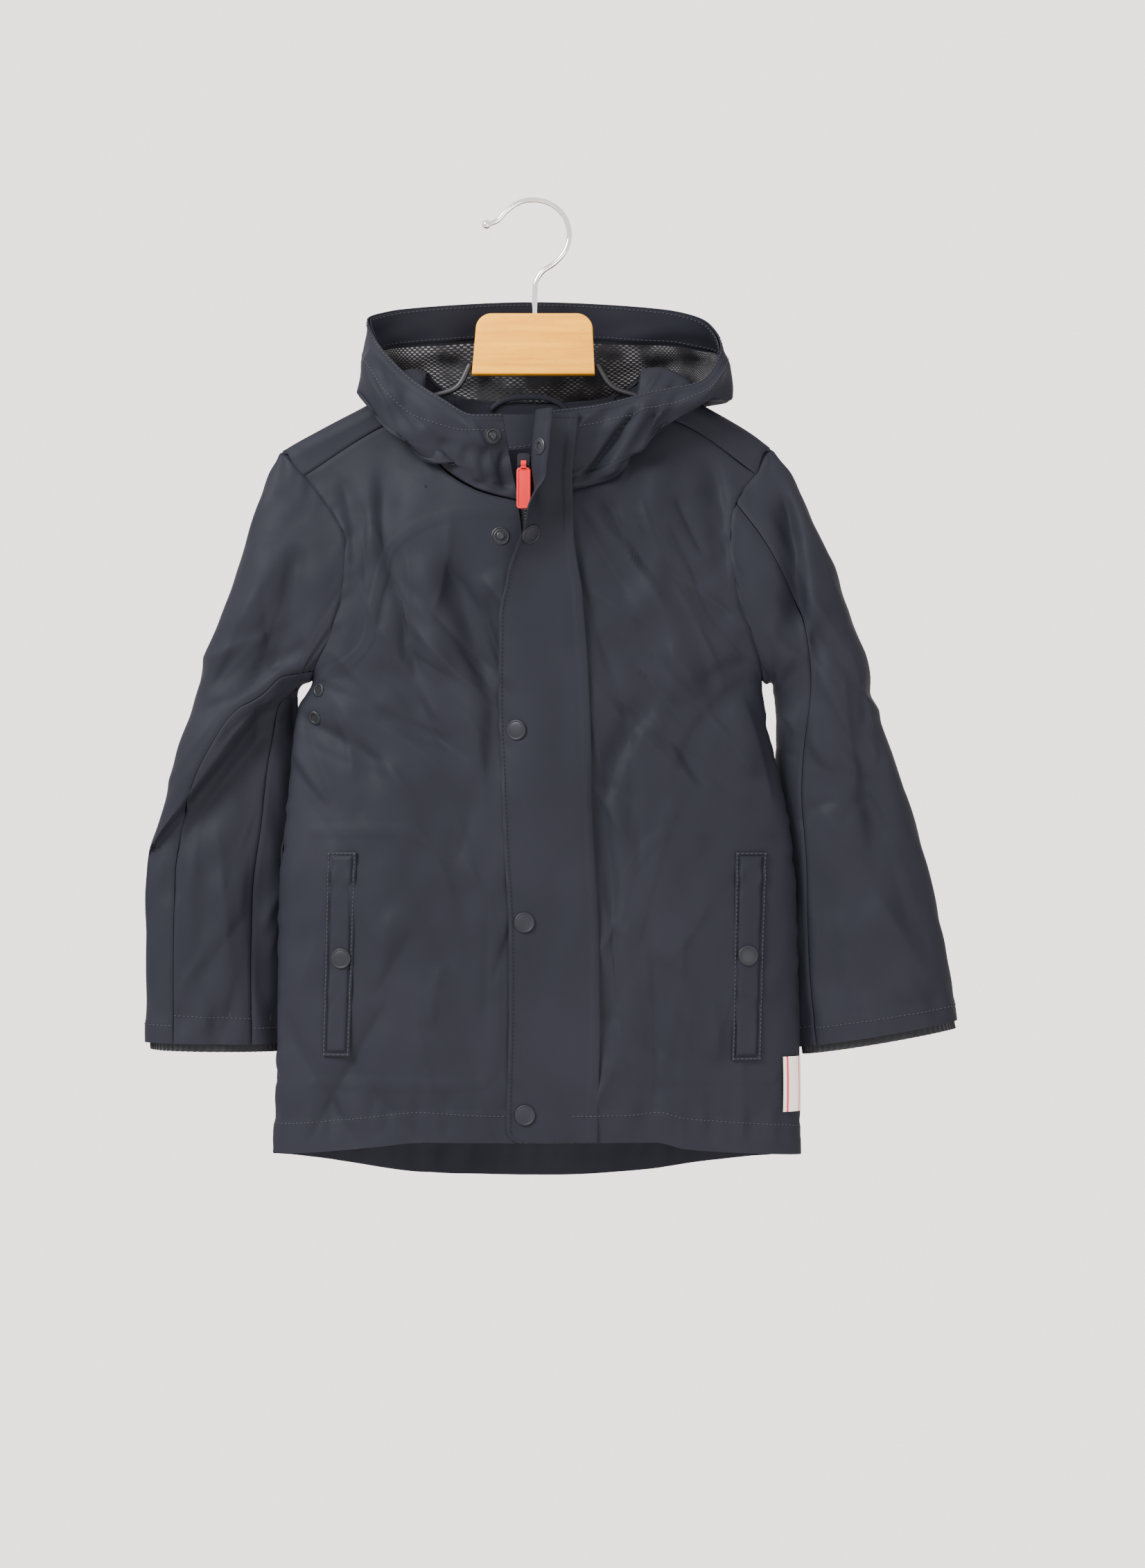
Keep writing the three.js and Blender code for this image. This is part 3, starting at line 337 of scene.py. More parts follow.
def back_outline():
    neck_share = 4 / 24

    def seam(wearer, t):
        u = SHOULDER_END if wearer == "right" else 1 - SHOULDER_END
        end = (float(neck_x(u)), float(neck_z(u)))
        middle_of_seam = (sign_of[wearer] * SHOULDER_SEAM[0], SHOULDER_SEAM[1])
        return to_way(route([arm_top[wearer], middle_of_seam, end])(t) + [0, SEAM_GAP], -1)

    def top(u):
        k = mix(SHOULDER_END, 1 - SHOULDER_END, (u - neck_share) / (1 - 2 * neck_share))
        neck = np.stack([angle_at(neck_x(k), neck_z(k)), neck_way(k)], -1)
        right = seam("right", np.clip(u / neck_share, 0, 1))
        left = seam("left", np.clip((1 - u) / neck_share, 0, 1))
        edge = np.where((u <= neck_share)[..., None], right, neck)
        return np.where((u >= 1 - neck_share)[..., None], left, edge)

    tail = route([(-189, -686), (-177, -687), (-126, -695), (-81, -702), (-37, -704.5), (17, -705),
                  (75, -701), (128, -692.5), (178, -687), (192, -686.5)])

    def bottom(u):
        return to_way(tail(u), 1)

    def edge(wearer):
        over_tip = 1 / 13
        start = to_way(np.add(arm_top[wearer], (0, SEAM_GAP)), -1)
        tip = to_way(np.asarray(shoulder_tip[wearer], float), 0)
        hole_shade = route(armhole_back[wearer])
        low = tail(0.0 if wearer == "right" else 1.0)[1]

        def at(v):
            over = mix(start, tip, np.clip(v / over_tip, 0, 1)[..., None])
            hole_share = np.clip((v - over_tip) / (ARMPIT_ROW - over_tip), 0, 1)
            along_hole = to_way(hole_shade(hole_share), 1)
            z = mix(armpit[wearer][1], low, np.clip((v - ARMPIT_ROW) / (1 - ARMPIT_ROW), 0, 1))
            angle = np.full(z.shape, sign_of[wearer] * math.pi / 2)
            side_seam = np.stack([angle, way_of(across_at(angle, z), z, 1)], -1)
            upper = np.where((v <= over_tip)[..., None], over, along_hole)
            return np.where((v > ARMPIT_ROW)[..., None], side_seam, upper)

        return at

    return patch(top, bottom, edge("right"), edge("left"))


closer_at_ridge = glide([0, 0.12, 0.34, 1], [0, 0.035, 0.12, 1])
back_patch = back_outline()


def back_at(u, v):
    angle, way = np.moveaxis(back_patch(u, closer_at_ridge(v)), -1, 0)
    return wrap_at(angle, way)


def spread(count, crowd=0.0):
    """count + 1 shares from 0 to 1, closer together at both ends where crowd is above 0."""
    t = np.linspace(0, 1, count + 1)
    return mix(t, smooth(t), crowd)


def normals_of(points, ring):
    if ring:
        around = np.concatenate([points[-1:], points, points[:1]])
        across = around[2:] - around[:-2]
    else:
        across = np.gradient(points, axis=0)
    normal = np.cross(across, np.gradient(points, axis=1))
    return normal / np.maximum(np.linalg.norm(normal, axis=-1, keepdims=True), 1e-9)


def plain_mesh(name, points, faces, uv=None, material=None, sharp=50):
    """A mesh from points in millimetres, with its faces turned outwards."""
    points = np.asarray(points, float)
    thirds = [(face[0], face[i], face[i + 1]) for face in faces for i in range(1, len(face) - 1)]
    first, second, third = np.moveaxis(points[np.array(thirds)], 1, 0)
    if np.sum(first * np.cross(second, third)) < 0:
        faces = [face[::-1] for face in faces]
    mesh = bpy.data.meshes.new(name)
    mesh.from_pydata((points * MM).tolist(), [], faces)
    if uv is not None:
        corners = np.empty(len(mesh.loops), int)
        mesh.loops.foreach_get("vertex_index", corners)
        mesh.uv_layers.new(name="cut").data.foreach_set("uv", (uv[corners] * MM).ravel())
    mesh.polygons.foreach_set("use_smooth", [True] * len(mesh.polygons))
    mesh.set_sharp_from_angle(angle=math.radians(sharp))
    mesh.materials.append(material)
    piece = bpy.data.objects.new(name, mesh)
    bpy.context.scene.collection.objects.link(piece)
    return piece


def stands_for(piece, node, body="coat"):
    """The piece moves with its body and takes the place of its node's solid."""
    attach(piece, body)
    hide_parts(node)


class Cut:
    """One cut piece of cloth: a net of points on its outer face, with its wall behind it."""

    def __init__(self, name, at, shares, outward, material, inset=0.0, thickness=CLOTH, ring=False,
                 relief=None, rolled=(), roll=(2.6, 0.9)):
        self.u, self.v = shares
        across = self.u[:-1] if ring else self.u
        u, v = np.meshgrid(across, self.v, indexing="ij")
        points = at(u, v)
        steps = np.linalg.norm(np.diff(points, axis=0), axis=-1)
        down = np.linalg.norm(np.diff(points, axis=1), axis=-1)
        along = np.concatenate([np.zeros((1, v.shape[1])), np.cumsum(steps, axis=0)])
        below = np.concatenate([np.zeros((u.shape[0], 1)), np.cumsum(down, axis=1)], axis=1)
        self.width, self.length = along[-1].max(), below[:, -1].max()
        if ring:
            closing = np.linalg.norm(points[0] - points[-1], axis=-1)
            self.width = (along[-1] + closing).max()
        ways = {"start": along, "end": along[-1] - along, "top": below, "foot": below[:, -1:] - below}
        normals = outward * normals_of(points, ring)
        lift = relief(points, ways, u, v) if relief else np.zeros(u.shape)
        radius, depth = roll
        for edge in rolled:
            share = 1 - np.clip(ways[edge] / radius, 0, 1)
            lift = lift - depth * (1 - np.sqrt(1 - share**2))
        self.points = points + normals * (lift - inset)[..., None]
        self.normals = outward * normals_of(self.points, ring)
        inner = self.points - self.normals * thickness
        self.area = self.measure()
        count = points.shape[0] * points.shape[1]
        index = np.arange(count).reshape(points.shape[:2])
        if ring:
            index = np.concatenate([index, index[:1]])
        a, b, c, d = index[:-1, :-1], index[1:, :-1], index[1:, 1:], index[:-1, 1:]
        face = np.stack([a, b, c, d], -1).reshape(-1, 4)
        rims = [(index[1:, 0], index[:-1, 0]), (index[:-1, -1], index[1:, -1])]
        if not ring:
            rims += [(index[0, :-1], index[0, 1:]), (index[-1, 1:], index[-1, :-1])]
        edges = [np.stack([p, q, q + count, p + count], -1) for p, q in rims]
        self.faces = face.tolist()
        faces = np.concatenate([face, face[:, ::-1] + count, *edges]).tolist()
        flat = np.stack([u * self.width, v * self.length], -1).reshape(-1, 2)
        both = np.concatenate([self.points.reshape(-1, 3), inner.reshape(-1, 3)])
        self.piece = plain_mesh(f"{name}_cloth", both, faces, np.concatenate([flat, flat]), material)

    def measure(self):
        across = np.diff(self.points, axis=0)[:, :-1]
        down = np.diff(self.points, axis=1)[:-1]
        return np.linalg.norm(np.cross(across, down), axis=-1).sum()

    def on(self, u, v, lift=0.3):
        """Points and normals on the outer face at shares u and v of the net."""
        i = np.interp(u, self.u[: len(self.points)], np.arange(len(self.points)))
        j = np.interp(v, self.v, np.arange(len(self.v)))
        i0 = np.clip(i.astype(int), 0, len(self.points) - 2)
        j0 = np.clip(j.astype(int), 0, len(self.v) - 2)
        s, t = (i - i0)[..., None], (j - j0)[..., None]
        found = []
        for net in (self.points, self.normals):
            upper = mix(net[i0, j0], net[i0 + 1, j0], s)
            lower = mix(net[i0, j0 + 1], net[i0 + 1, j0 + 1], s)
            found.append(mix(upper, lower, t))
        return found[0] + found[1] * lift, found[1]

    def under(self, place, lift=-0.1):
        """The point and the normal on the outer face that lie behind (x, z) as seen from in front."""
        if self.faces:
            self.tree = BVHTree.FromPolygons(self.points.reshape(-1, 3).tolist(), self.faces)
            self.faces = None
        spot, normal, _, _ = self.tree.ray_cast(Vector((place[0], -300, place[1])), Vector((0, 1, 0)))
        normal = normal if normal.y < 0 else -normal
        return np.array(spot + normal * lift), np.array(normal)

    def hang(self, node, slot, rests_on, held):
        """It takes its solid's place."""
        stands_for(self.piece, node)
        size = (self.width * MM, self.length * MM)
        area = max(0.3 * size[0] * size[1], min(self.area * MM**2, size[0] * size[1]))


class Tone:
    """A socket of a material, on which sums and products are written as plain arithmetic."""

    def __init__(self, tree, socket):
        self.tree = tree
        self.socket = socket

    def of(self, kind, settings=(), output=0, **inputs):
        node = self.tree.nodes.new(kind)
        for name, value in dict(settings).items():
            setattr(node, name, value)
        for name, value in inputs.items():
            key = int(name[1:]) if name[1:].isdigit() else name.replace("_", " ")
            socket = node.inputs[key]
            if isinstance(value, Tone):
                self.tree.links.new(value.socket, socket)
            else:
                socket.default_value = value
        return Tone(self.tree, node.outputs[output])

    def sum_of(self, operation, a, b=0.0):
        return self.of("ShaderNodeMath", {"operation": operation}, _0=a, _1=b)

    def __add__(self, other):
        return self.sum_of("ADD", self, other)

    def __sub__(self, other):
        return self.sum_of("SUBTRACT", self, other)

    def __rsub__(self, other):
        return self.sum_of("SUBTRACT", other, self)

    def __mul__(self, other):
        return self.sum_of("MULTIPLY", self, other)

    __radd__ = __add__
    __rmul__ = __mul__

    def between(self, low, high):
        """0 below low and 1 above high, with a soft step between them."""
        return self.of("ShaderNodeMapRange", {"interpolation_type": "SMOOTHSTEP"},
                       Value=self, From_Min=low, From_Max=high)

    def blend(self, first, second):
        """A colour that goes from first to second as this value goes from 0 to 1."""
        return self.of("ShaderNodeMix", {"data_type": "RGBA"}, output=2, _0=self, _6=first, _7=second)


def finish_of(name, **fixed):
    """A material with its fixed values set on the shader, and the start of its node maths."""
    material = bpy.data.materials.new(name)
    material.use_nodes = True
    tree = material.node_tree
    shader = tree.nodes["Principled BSDF"]
    for key, value in fixed.items():
        shader.inputs[key.replace("_", " ")].default_value = value
    place = tree.nodes.new("ShaderNodeTexCoord")
    return material, shader, Tone(tree, place.outputs["Object"]), Tone(tree, place.outputs["UV"])


def feed(shader, **tones):
    for name, tone in tones.items():
        tone.tree.links.new(tone.socket, shader.inputs[name.replace("_", " ")])


def noise(place, scale, detail):
    return place.of("ShaderNodeTexNoise", Vector=place, Scale=scale, Detail=detail)


def bumped(height, strength, distance):
    return height.of("ShaderNodeBump", Height=height, Strength=strength, Distance=distance)


def shell_cloth(name, light=(0.0128, 0.0137, 0.0190, 1), dark=(0.0108, 0.0117, 0.0166, 1)):
    """Navy rubber coating: satin, with a fine leathery grain and slow changes of tone."""
    material, shader, spot, _ = finish_of(name, Specular_IOR_Level=0.07)
    tone = noise(spot, 9, 3).between(0.35, 0.68)
    grain = noise(spot, 1400, 2)
    scuff = noise(spot, 60, 4).between(0.45, 0.75)
    feed(
        shader,
        Base_Color=tone.blend(dark, light),
        Roughness=0.58 + 0.08 * scuff + 0.05 * grain,
        Normal=bumped(grain + 0.5 * noise(spot, 420, 1), 0.16, 0.0002),
    )
    return material


shell = shell_cloth("rubber-coated navy cloth")


def times(share, colour):
    return tuple(share * part for part in colour)


def thread(name, colour):
    material, shader, spot, _ = finish_of(name, Roughness=0.75, Specular_IOR_Level=0.25)
    tone = noise(spot, 900, 1)
    feed(shader, Base_Color=tone.blend(times(0.8, colour), times(1.2, colour)),
         Normal=bumped(noise(spot, 2600, 1), 0.4, 0.0002))
    return material


seam_thread = thread("navy seam thread", (0.032, 0.034, 0.042, 1))


def stitch_rows():
    """Rows of short rounded stitches along curves, each lying on the cloth's own slope."""
    tree = bpy.data.node_groups.new("Stitch rows", "GeometryNodeTree")
    sizes = {"Pitch": 0.0031, "Stitch Length": 0.0023, "Thread Width": 0.0006, "Thread Rise": 0.0005}
    tree.interface.new_socket("Geometry", in_out="INPUT", socket_type="NodeSocketGeometry")
    for name, size in sizes.items():
        socket = tree.interface.new_socket(name, in_out="INPUT", socket_type="NodeSocketFloat")
        socket.default_value = size
    tree.interface.new_socket("Thread", in_out="INPUT", socket_type="NodeSocketMaterial")
    tree.interface.new_socket("Geometry", in_out="OUTPUT", socket_type="NodeSocketGeometry")
    nodes, links = tree.nodes, tree.links
    given = nodes.new("NodeGroupInput")
    curve = nodes.new("GeometryNodeMeshToCurve")
    evenly = nodes.new("GeometryNodeResampleCurve")
    evenly.mode = "LENGTH"
    tangent = nodes.new("GeometryNodeInputTangent")
    slope = nodes.new("GeometryNodeInputNamedAttribute")
    slope.data_type = "FLOAT_VECTOR"
    slope.inputs["Name"].default_value = "slope"
    along = nodes.new("FunctionNodeAlignRotationToVector")
    along.axis = "X"
    upright = nodes.new("FunctionNodeAlignRotationToVector")
    upright.axis, upright.pivot_axis = "Z", "X"
    stitch = nodes.new("GeometryNodeMeshUVSphere")
    stitch.inputs["Segments"].default_value = 6
    stitch.inputs["Rings"].default_value = 4
    stitch.inputs["Radius"].default_value = 0.5
    size = nodes.new("ShaderNodeCombineXYZ")
    sewn = nodes.new("GeometryNodeInstanceOnPoints")
    real = nodes.new("GeometryNodeRealizeInstances")
    coloured = nodes.new("GeometryNodeSetMaterial")
    result = nodes.new("NodeGroupOutput")
    links.new(given.outputs["Geometry"], curve.inputs[0])
    links.new(curve.outputs[0], evenly.inputs["Curve"])
    links.new(given.outputs["Pitch"], evenly.inputs["Length"])
    links.new(tangent.outputs[0], along.inputs["Vector"])
    links.new(along.outputs[0], upright.inputs["Rotation"])
    links.new(slope.outputs[0], upright.inputs["Vector"])
    for name, axis in (("Stitch Length", "X"), ("Thread Width", "Y"), ("Thread Rise", "Z")):
        links.new(given.outputs[name], size.inputs[axis])
    links.new(evenly.outputs[0], sewn.inputs["Points"])
    links.new(stitch.outputs["Mesh"], sewn.inputs["Instance"])
    links.new(upright.outputs[0], sewn.inputs["Rotation"])
    links.new(size.outputs[0], sewn.inputs["Scale"])
    links.new(sewn.outputs[0], real.inputs[0])
    links.new(real.outputs[0], coloured.inputs["Geometry"])
    links.new(given.outputs["Thread"], coloured.inputs["Material"])
    links.new(coloured.outputs[0], result.inputs[0])
    return tree


stitch_tree = stitch_rows()


def made_plain(piece):
    """The piece's evaluated shape as a plain mesh, with its modifiers gone."""
    piece.data.update()
    seen = bpy.context.evaluated_depsgraph_get()
    mesh = bpy.data.meshes.new_from_object(piece.evaluated_get(seen))
    piece.modifiers.clear()
    piece.data = mesh
    mesh.name = piece.name
    return piece


def stitched(name, runs, material=None, **sizes):
    """One row of stitches for each run of points and normals."""
    material = material or seam_thread
    points, slopes, edges = [], [], []
    for spots, normals in runs:
        start = len(points)
        points += (spots * MM).tolist()
        slopes += normals.tolist()
        edges += [(start + i, start + i + 1) for i in range(len(spots) - 1)]
    mesh = bpy.data.meshes.new(name)
    mesh.from_pydata(points, edges, [])
    slope = mesh.attributes.new("slope", "FLOAT_VECTOR", "POINT")
    slope.data.foreach_set("vector", np.ravel(slopes))
    piece = bpy.data.objects.new(name, mesh)
    bpy.context.scene.collection.objects.link(piece)
    rows = piece.modifiers.new("stitches", "NODES")
    rows.node_group = stitch_tree
    sockets = {item.name: item.identifier for item in stitch_tree.interface.items_tree
               if item.in_out == "INPUT"}
    rows[sockets["Thread"]] = material
    for key, size in sizes.items():
        rows[sockets[key.replace("_", " ")]] = size
    made_plain(piece)
    piece.data.polygons.foreach_set("use_smooth", [True] * len(piece.data.polygons))
    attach(piece, "coat")
    return piece


def doubled(way, width, rise, slope):
    """The step where cloth lies double over width from an edge, way away from it."""
    return rise * smooth((width - way) / slope + 0.5)


def gathers(way, along, height, length, seed):
    """Small gathers that a row of stitches draws into the cloth, fading over length."""
    draw = rumple(seed, 17, 1.0)(along, 0 * along)
    return height * draw * np.exp(-((way / length) ** 2))


back_rumple = rumple(3, 70, 0.9, stretch=2.2)
back_creases = folds(crumpled(111, 36, (-170, -660), (150, -200), -86, 26, 1.3), crisp=True)
TAIL_HEM = 21
HEM_RISE, HEM_SLOPE = 0.6, 2


def back_relief(points, ways, u, v):
    x, z = points[..., 0], points[..., 2]
    hanging = smooth((-150 - z) / 60)
    turned_up = doubled(ways["foot"], TAIL_HEM, HEM_RISE, HEM_SLOPE)
    drawn = gathers(ways["foot"] - TAIL_HEM, ways["start"], 0.6, 14, 5)
    creased = back_rumple(x, z) - back_creases(x, z) * (points[..., 1] > 0)
    return creased * hanging + turned_up + drawn


back = Cut("back", back_at, (spread(134, 0.3), spread(172, 0.2)), 1, shell,
           relief=back_relief, rolled=("start", "end", "top"))
back.hang("back", "shell", ["hanger_arm_right", "hanger_arm_left"], held="hung")
side_to_side = np.linspace(0.01, 0.99, 260)


def row_at(cut, foot, shares):
    """A row that keeps foot millimetres above the piece's lower edge."""
    return cut.on(shares, np.full(shares.shape, 1 - foot / cut.length))


stitched("back_stitches", [row_at(back, TAIL_HEM, side_to_side), row_at(back, 2.5, side_to_side)])

# Fronts. Two panels of the same coated cloth, sewn to the back at the sides and over the
# shoulders. Tapes sealed to their wrong side over the pocket bags and chest seams show through as
# faint double lines, and the hem is turned up and stitched.

HEM = 22
front_hem = {
    "right": [(-8, -675.5), (-77, -675), (-117, -679), (-171, -684), (-189, -684.5)],
    "left": [(14, -675), (86, -675), (108, -680), (160, -684), (192, -686)],
}
front_edge = {
    "right": [(-12, -218), (-9, -242), (-8, -300), (-8, -675.5)],
    "left": [(14, -213), (14, -300), (14, -675)],
}


def front_outline(wearer):
    sign = sign_of[wearer]
    neck_share = 6 / 14

    def neck(t):
        u = t * SHOULDER_END if wearer == "right" else 1 - t * SHOULDER_END
        return np.stack([neck_x(u), neck_z(u) - SEAM_GAP], -1)

    middle_of_seam = (sign * SHOULDER_SEAM[0], SHOULDER_SEAM[1])
    shoulder = route([neck(np.array(1.0)), middle_of_seam, arm_top[wearer]])
    hem = route(front_hem[wearer])
    edge = route(front_edge[wearer])
    hole_shade = route(armhole_front[wearer])

    def top(u):
        along_neck = neck(np.clip(u / neck_share, 0, 1))
        over = shoulder(np.clip((u - neck_share) / (1 - neck_share), 0, 1)) - [0, SEAM_GAP]
        return to_angle(np.where((u <= neck_share)[..., None], along_neck, over))

    def side(v):
        along_hole = to_angle(hole_shade(np.clip(v / ARMPIT_ROW, 0, 1)))
        below = np.clip((v - ARMPIT_ROW) / (1 - ARMPIT_ROW), 0, 1)
        z = mix(armpit[wearer][1], front_hem[wearer][4][1], below)
        seam = np.stack([np.full(z.shape, sign * math.pi / 2), z], -1)
        return np.where((v > ARMPIT_ROW)[..., None], seam, along_hole)

    return patch(top, lambda u: to_angle(hem(u)), lambda v: to_angle(edge(v)), side)


tape_lines = {
    "right": [
        [(-157, -453), (-130, -453), (-99, -453), (-68, -464), (-46, -483), (-33, -508), (-28, -540),
         (-28, -600), (-30, -622), (-42, -634), (-90, -634), (-157, -633)],
        [(-10, -226), (-46, -226), (-81, -235), (-104, -255), (-112, -285), (-119, -317),
         (-133, -333), (-152, -341)],
    ],
    "left": [
        [(180, -453), (140, -453), (97, -454), (76, -470), (64, -494), (59, -530), (59, -600),
         (62, -622), (76, -630), (120, -630), (170, -630)],
        [(46, -226), (79, -235), (97, -255), (108, -272), (115, -290), (123, -305), (133, -317),
         (155, -341)],
    ],
}
fine_front_folds = folds([
    ([(-103, -272), (-108, -292), (-112, -314)], 4, 1.6, 0.2),
    ([(-120, -330), (-96, -352), (-80, -384)], 6, 1.3, 0.3),
    ([(-150, -352), (-120, -362), (-98, -380)], 6, 1.6, 0.2),
    ([(-147, -380), (-120, -400), (-104, -430)], 8, 1.4, -0.2),
    ([(-60, -440), (-52, -500), (-40, -560)], 9, 2.0, 0.2),
    ([(-120, -640), (-108, -655), (-112, -676)], 6, 1.4, 0.2),
    ([(-60, -636), (-66, -655), (-60, -674)], 7, 1.4, -0.2),
    ([(29, -178), (44, -200), (56, -236), (60, -252)], 7, 1.8, 0.2),
    ([(90, -180), (86, -214), (96, -250)], 9, -1.6, 0.2),
    ([(160, -345), (134, -362), (112, -390), (100, -430)], 8, 2.0, 0.3),
    ([(158, -330), (136, -336), (118, -352)], 6, 1.3, 0.2),
    ([(108, -420), (94, -450), (88, -500)], 9, -1.8, 0.2),
    ([(76, -560), (84, -600), (78, -650)], 10, 1.6, 0.3),
    ([(120, -640), (126, -660), (120, -680)], 7, 1.4, 0.2),
])
front_creases = folds([
    *crumpled(101, 26, (-170, -430), (-20, -215), -58, 16, 1.5),
    *crumpled(102, 22, (-175, -660), (-20, -430), -84, 24, 1.1),
    *crumpled(103, 26, (25, -430), (170, -215), -66, 18, 1.5),
    *crumpled(104, 22, (25, -660), (185, -430), -92, 24, 1.1),
    *crumpled(105, 6, (-160, -410), (-40, -340), -28, 10, 1.3),
], crisp=True)
front_rumple = rumple(8, 30, 0.3, stretch=1.5)


def taped(lines, x, z, width=8.0, rise=0.45):
    """A flat tape pressed through from behind along each line."""
    total = 0 * x
    for line in lines:
        away, _, _ = beside(route(line)(np.linspace(0, 1, 60)), x, z)
        total = np.maximum(total, smooth((width / 2 - away) / 1.8 + 0.5))
    return rise * total


def front_relief(wearer):
    def relief(points, ways, u, v):
        x, z = points[..., 0], points[..., 2]
        inside = smooth(ways["end"] / 20) * smooth(ways["top"] / 20)
        soft = (front_rumple(x, z) - fine_front_folds(x, z) - front_creases(x, z)) * inside
        turned_up = doubled(ways["foot"], HEM, HEM_RISE, HEM_SLOPE)
        drawn = gathers(ways["foot"] - HEM, ways["start"], 0.7, 13, 21 if wearer == "right" else 22)
        sewn = gathers(ways["end"], ways["top"], 0.5, 9, 31)
        return soft + taped(tape_lines[wearer], x, z) + turned_up + drawn + sewn

    return relief


def front_panel(wearer):
    outline = front_outline(wearer)

    def at(u, v):
        angle, z = np.moveaxis(outline(u, v), -1, 0)
        return body_at(angle, z, -1)

    shares = (spread(104, 0.2), spread(230, 0.1))
    panel = Cut(f"front_{wearer}", at, shares, -sign_of[wearer], shell,
                relief=front_relief(wearer), rolled=("top", "end"))
    panel.hang(f"front_{wearer}", "shell", ["back", "hanger_arm_right", "hanger_arm_left"], "hung")
    stitched(f"front_{wearer}_stitches", [row_at(panel, HEM, np.linspace(0.01, 0.985, 120))])
    return panel


fronts = {wearer: front_panel(wearer) for wearer in sign_of}

# Sleeves. Each is cut in two, a wide upper piece and a narrow under piece, and set into the
# armhole. They hang nearly flat, with long pulls from the armpit and a turned, stitched cuff over
# a knitted inner cuff.

CUFF_RING = 9
CUFF_HEM = 16
TUCK = 8
TUCK_ROW = 0.012
FLAT_ACROSS, FLAT_DEEP = 0.9, 0.85
HOLE_REACH = 1.6
BEHIND_SHARE = 0.35
SET_IN, ARMPIT_ROOM = 1.3, 1.2
TUCK_DEPTH = 2.4
SEAM_DIP = 0.8
side_tuck = {
    "right": columns("ring inward back", [
        (0, 0, 0), (0.5, 0, 0), (1, 1, 1), (2, 4, 3), (4, 10, 7), (5, 12, 7), (7, 10, 5), (10, 10, 5),
    ]),
    "left": columns("ring inward back", [
        (0, 0, 0), (0.5, 0, 0), (1, 2, 3), (2, 10, 8), (4, 21, 13), (5, 22, 13), (7, 11, 9), (10, 9, 8),
    ]),
}
sleeve_columns = "ring outer_x outer_z inner_x inner_z depth centre yaw seam_a seam_b"
sleeve_shape = {
    "right": columns(sleeve_columns, [
        (0, -183, -180, -161, -346, 22, 0, 0, 158, 180),
        (1, -194, -204, -168, -349, 25, 0, 0, 152, 172),
        (2, -203, -232, -174, -355, 26, 1, 1, 140, 160),
        (3, -213, -264, -178, -366, 26, 2, 2, 122, 142),
        (4, -227, -304, -179, -384, 25, 4, 3, 104, 122),
        (5, -246, -364, -180, -415, 25, 7, 4, 72, 118),
        (6, -264, -424, -184, -455, 24, 10, 5, 56, 122),
        (7, -279, -481, -189, -505, 24, 12, 5, 60, 124),
        (8, -280, -544, -190, -556, 23, 14, 5, 60, 124),
        (9, -280, -606, -190, -608, 22, 15, 5, 60, 124),
        (10, -277, -616, -191, -618, 21, 15, 5, 60, 124),
    ]),
    "left": columns(sleeve_columns, [
        (0, 171, -178, 164, -346, 22, 0, 0, 62, 180),
        (1, 187, -204, 172, -348, 25, 0, 0, 74, 184),
        (2, 200, -232, 181, -354, 26, 0, 0, 84, 188),
        (3, 213, -264, 189, -360, 26, 1, 0, 96, 192),
        (4, 227, -304, 195, -375, 25, 2, 0, 112, 196),
        (5, 247, -364, 195, -402, 25, 4, 0, 128, 200),
        (6, 266, -424, 193, -442, 24, 6, 0, 136, 204),
        (7, 284, -484, 193, -495, 24, 8, 0, 140, 206),
        (8, 296, -540, 194, -552, 23, 9, 0, 142, 208),
        (9, 305, -590, 199, -610, 22, 10, 0, 142, 208),
        (10, 306, -600, 201, -620, 21, 10, 0, 142, 208),
    ]),
}
sleeve_folds = {
    "right": folds([
        ([(-152, -336), (-180, -366), (-208, -398), (-238, -440), (-262, -478)], 9, 6, 0.35),
        ([(-160, -322), (-184, -340), (-214, -368), (-244, -408), (-266, -440)], 9, -3.5, 0.2),
        ([(-190, -240), (-200, -300), (-216, -350)], 12, -3, 0),
        ([(-166, -240), (-172, -290), (-184, -335)], 9, 4, 0.2),
        ([(-228, -470), (-222, -530), (-228, -600)], 12, -3, 0),
        ([(-159, -318), (-176, -326), (-196, -334)], 5, 2.4, 0.3),
        ([(-205, -300), (-216, -330), (-232, -356)], 8, 2.0, 0.3),
        ([(-262, -448), (-256, -476), (-262, -510)], 7, 2.2, -0.3),
        ([(-240, -452), (-236, -500), (-246, -560)], 8, 2.0, 0.2),
        ([(-200, -470), (-206, -520), (-200, -580)], 7, 2.2, 0.2),
        ([(-215, -410), (-208, -440), (-212, -470)], 6, 1.8, -0.2),
    ]),
    "left": folds([
        ([(170, -196), (181, -230), (187, -270), (191, -320)], 8, 12, -0.2),
        ([(212, -350), (222, -380), (237, -414), (247, -490)], 10, 5, 0.3),
        ([(238, -500), (262, -540), (270, -590)], 12, -4, 0),
        ([(160, -300), (178, -326), (197, -338)], 9, -3, 0),
        ([(200, -300), (206, -340), (214, -372)], 7, 2.6, -0.3),
        ([(232, -350), (236, -364), (234, -380)], 4, 1.5, 0.2),
        ([(242, -382), (248, -396), (246, -412)], 4, 1.3, 0.2),
        ([(198, -452), (208, -438), (222, -430)], 4, 1.6, 0.3),
        ([(222, -452), (230, -436), (242, -428)], 4, 1.3, 0.3),
        ([(206, -470), (214, -520), (222, -590)], 8, 2.4, 0.2),
        ([(258, -440), (272, -490), (286, -560)], 9, 1.8, 0.2),
    ]),
}
ELBOW_STEP_HIGH, ELBOW_STEP_LOW = 14, 8
ELBOW_REACH = 80
elbow_line = route([(-150, -326), (-178, -352), (-206, -377), (-238, -420), (-272, -462)])


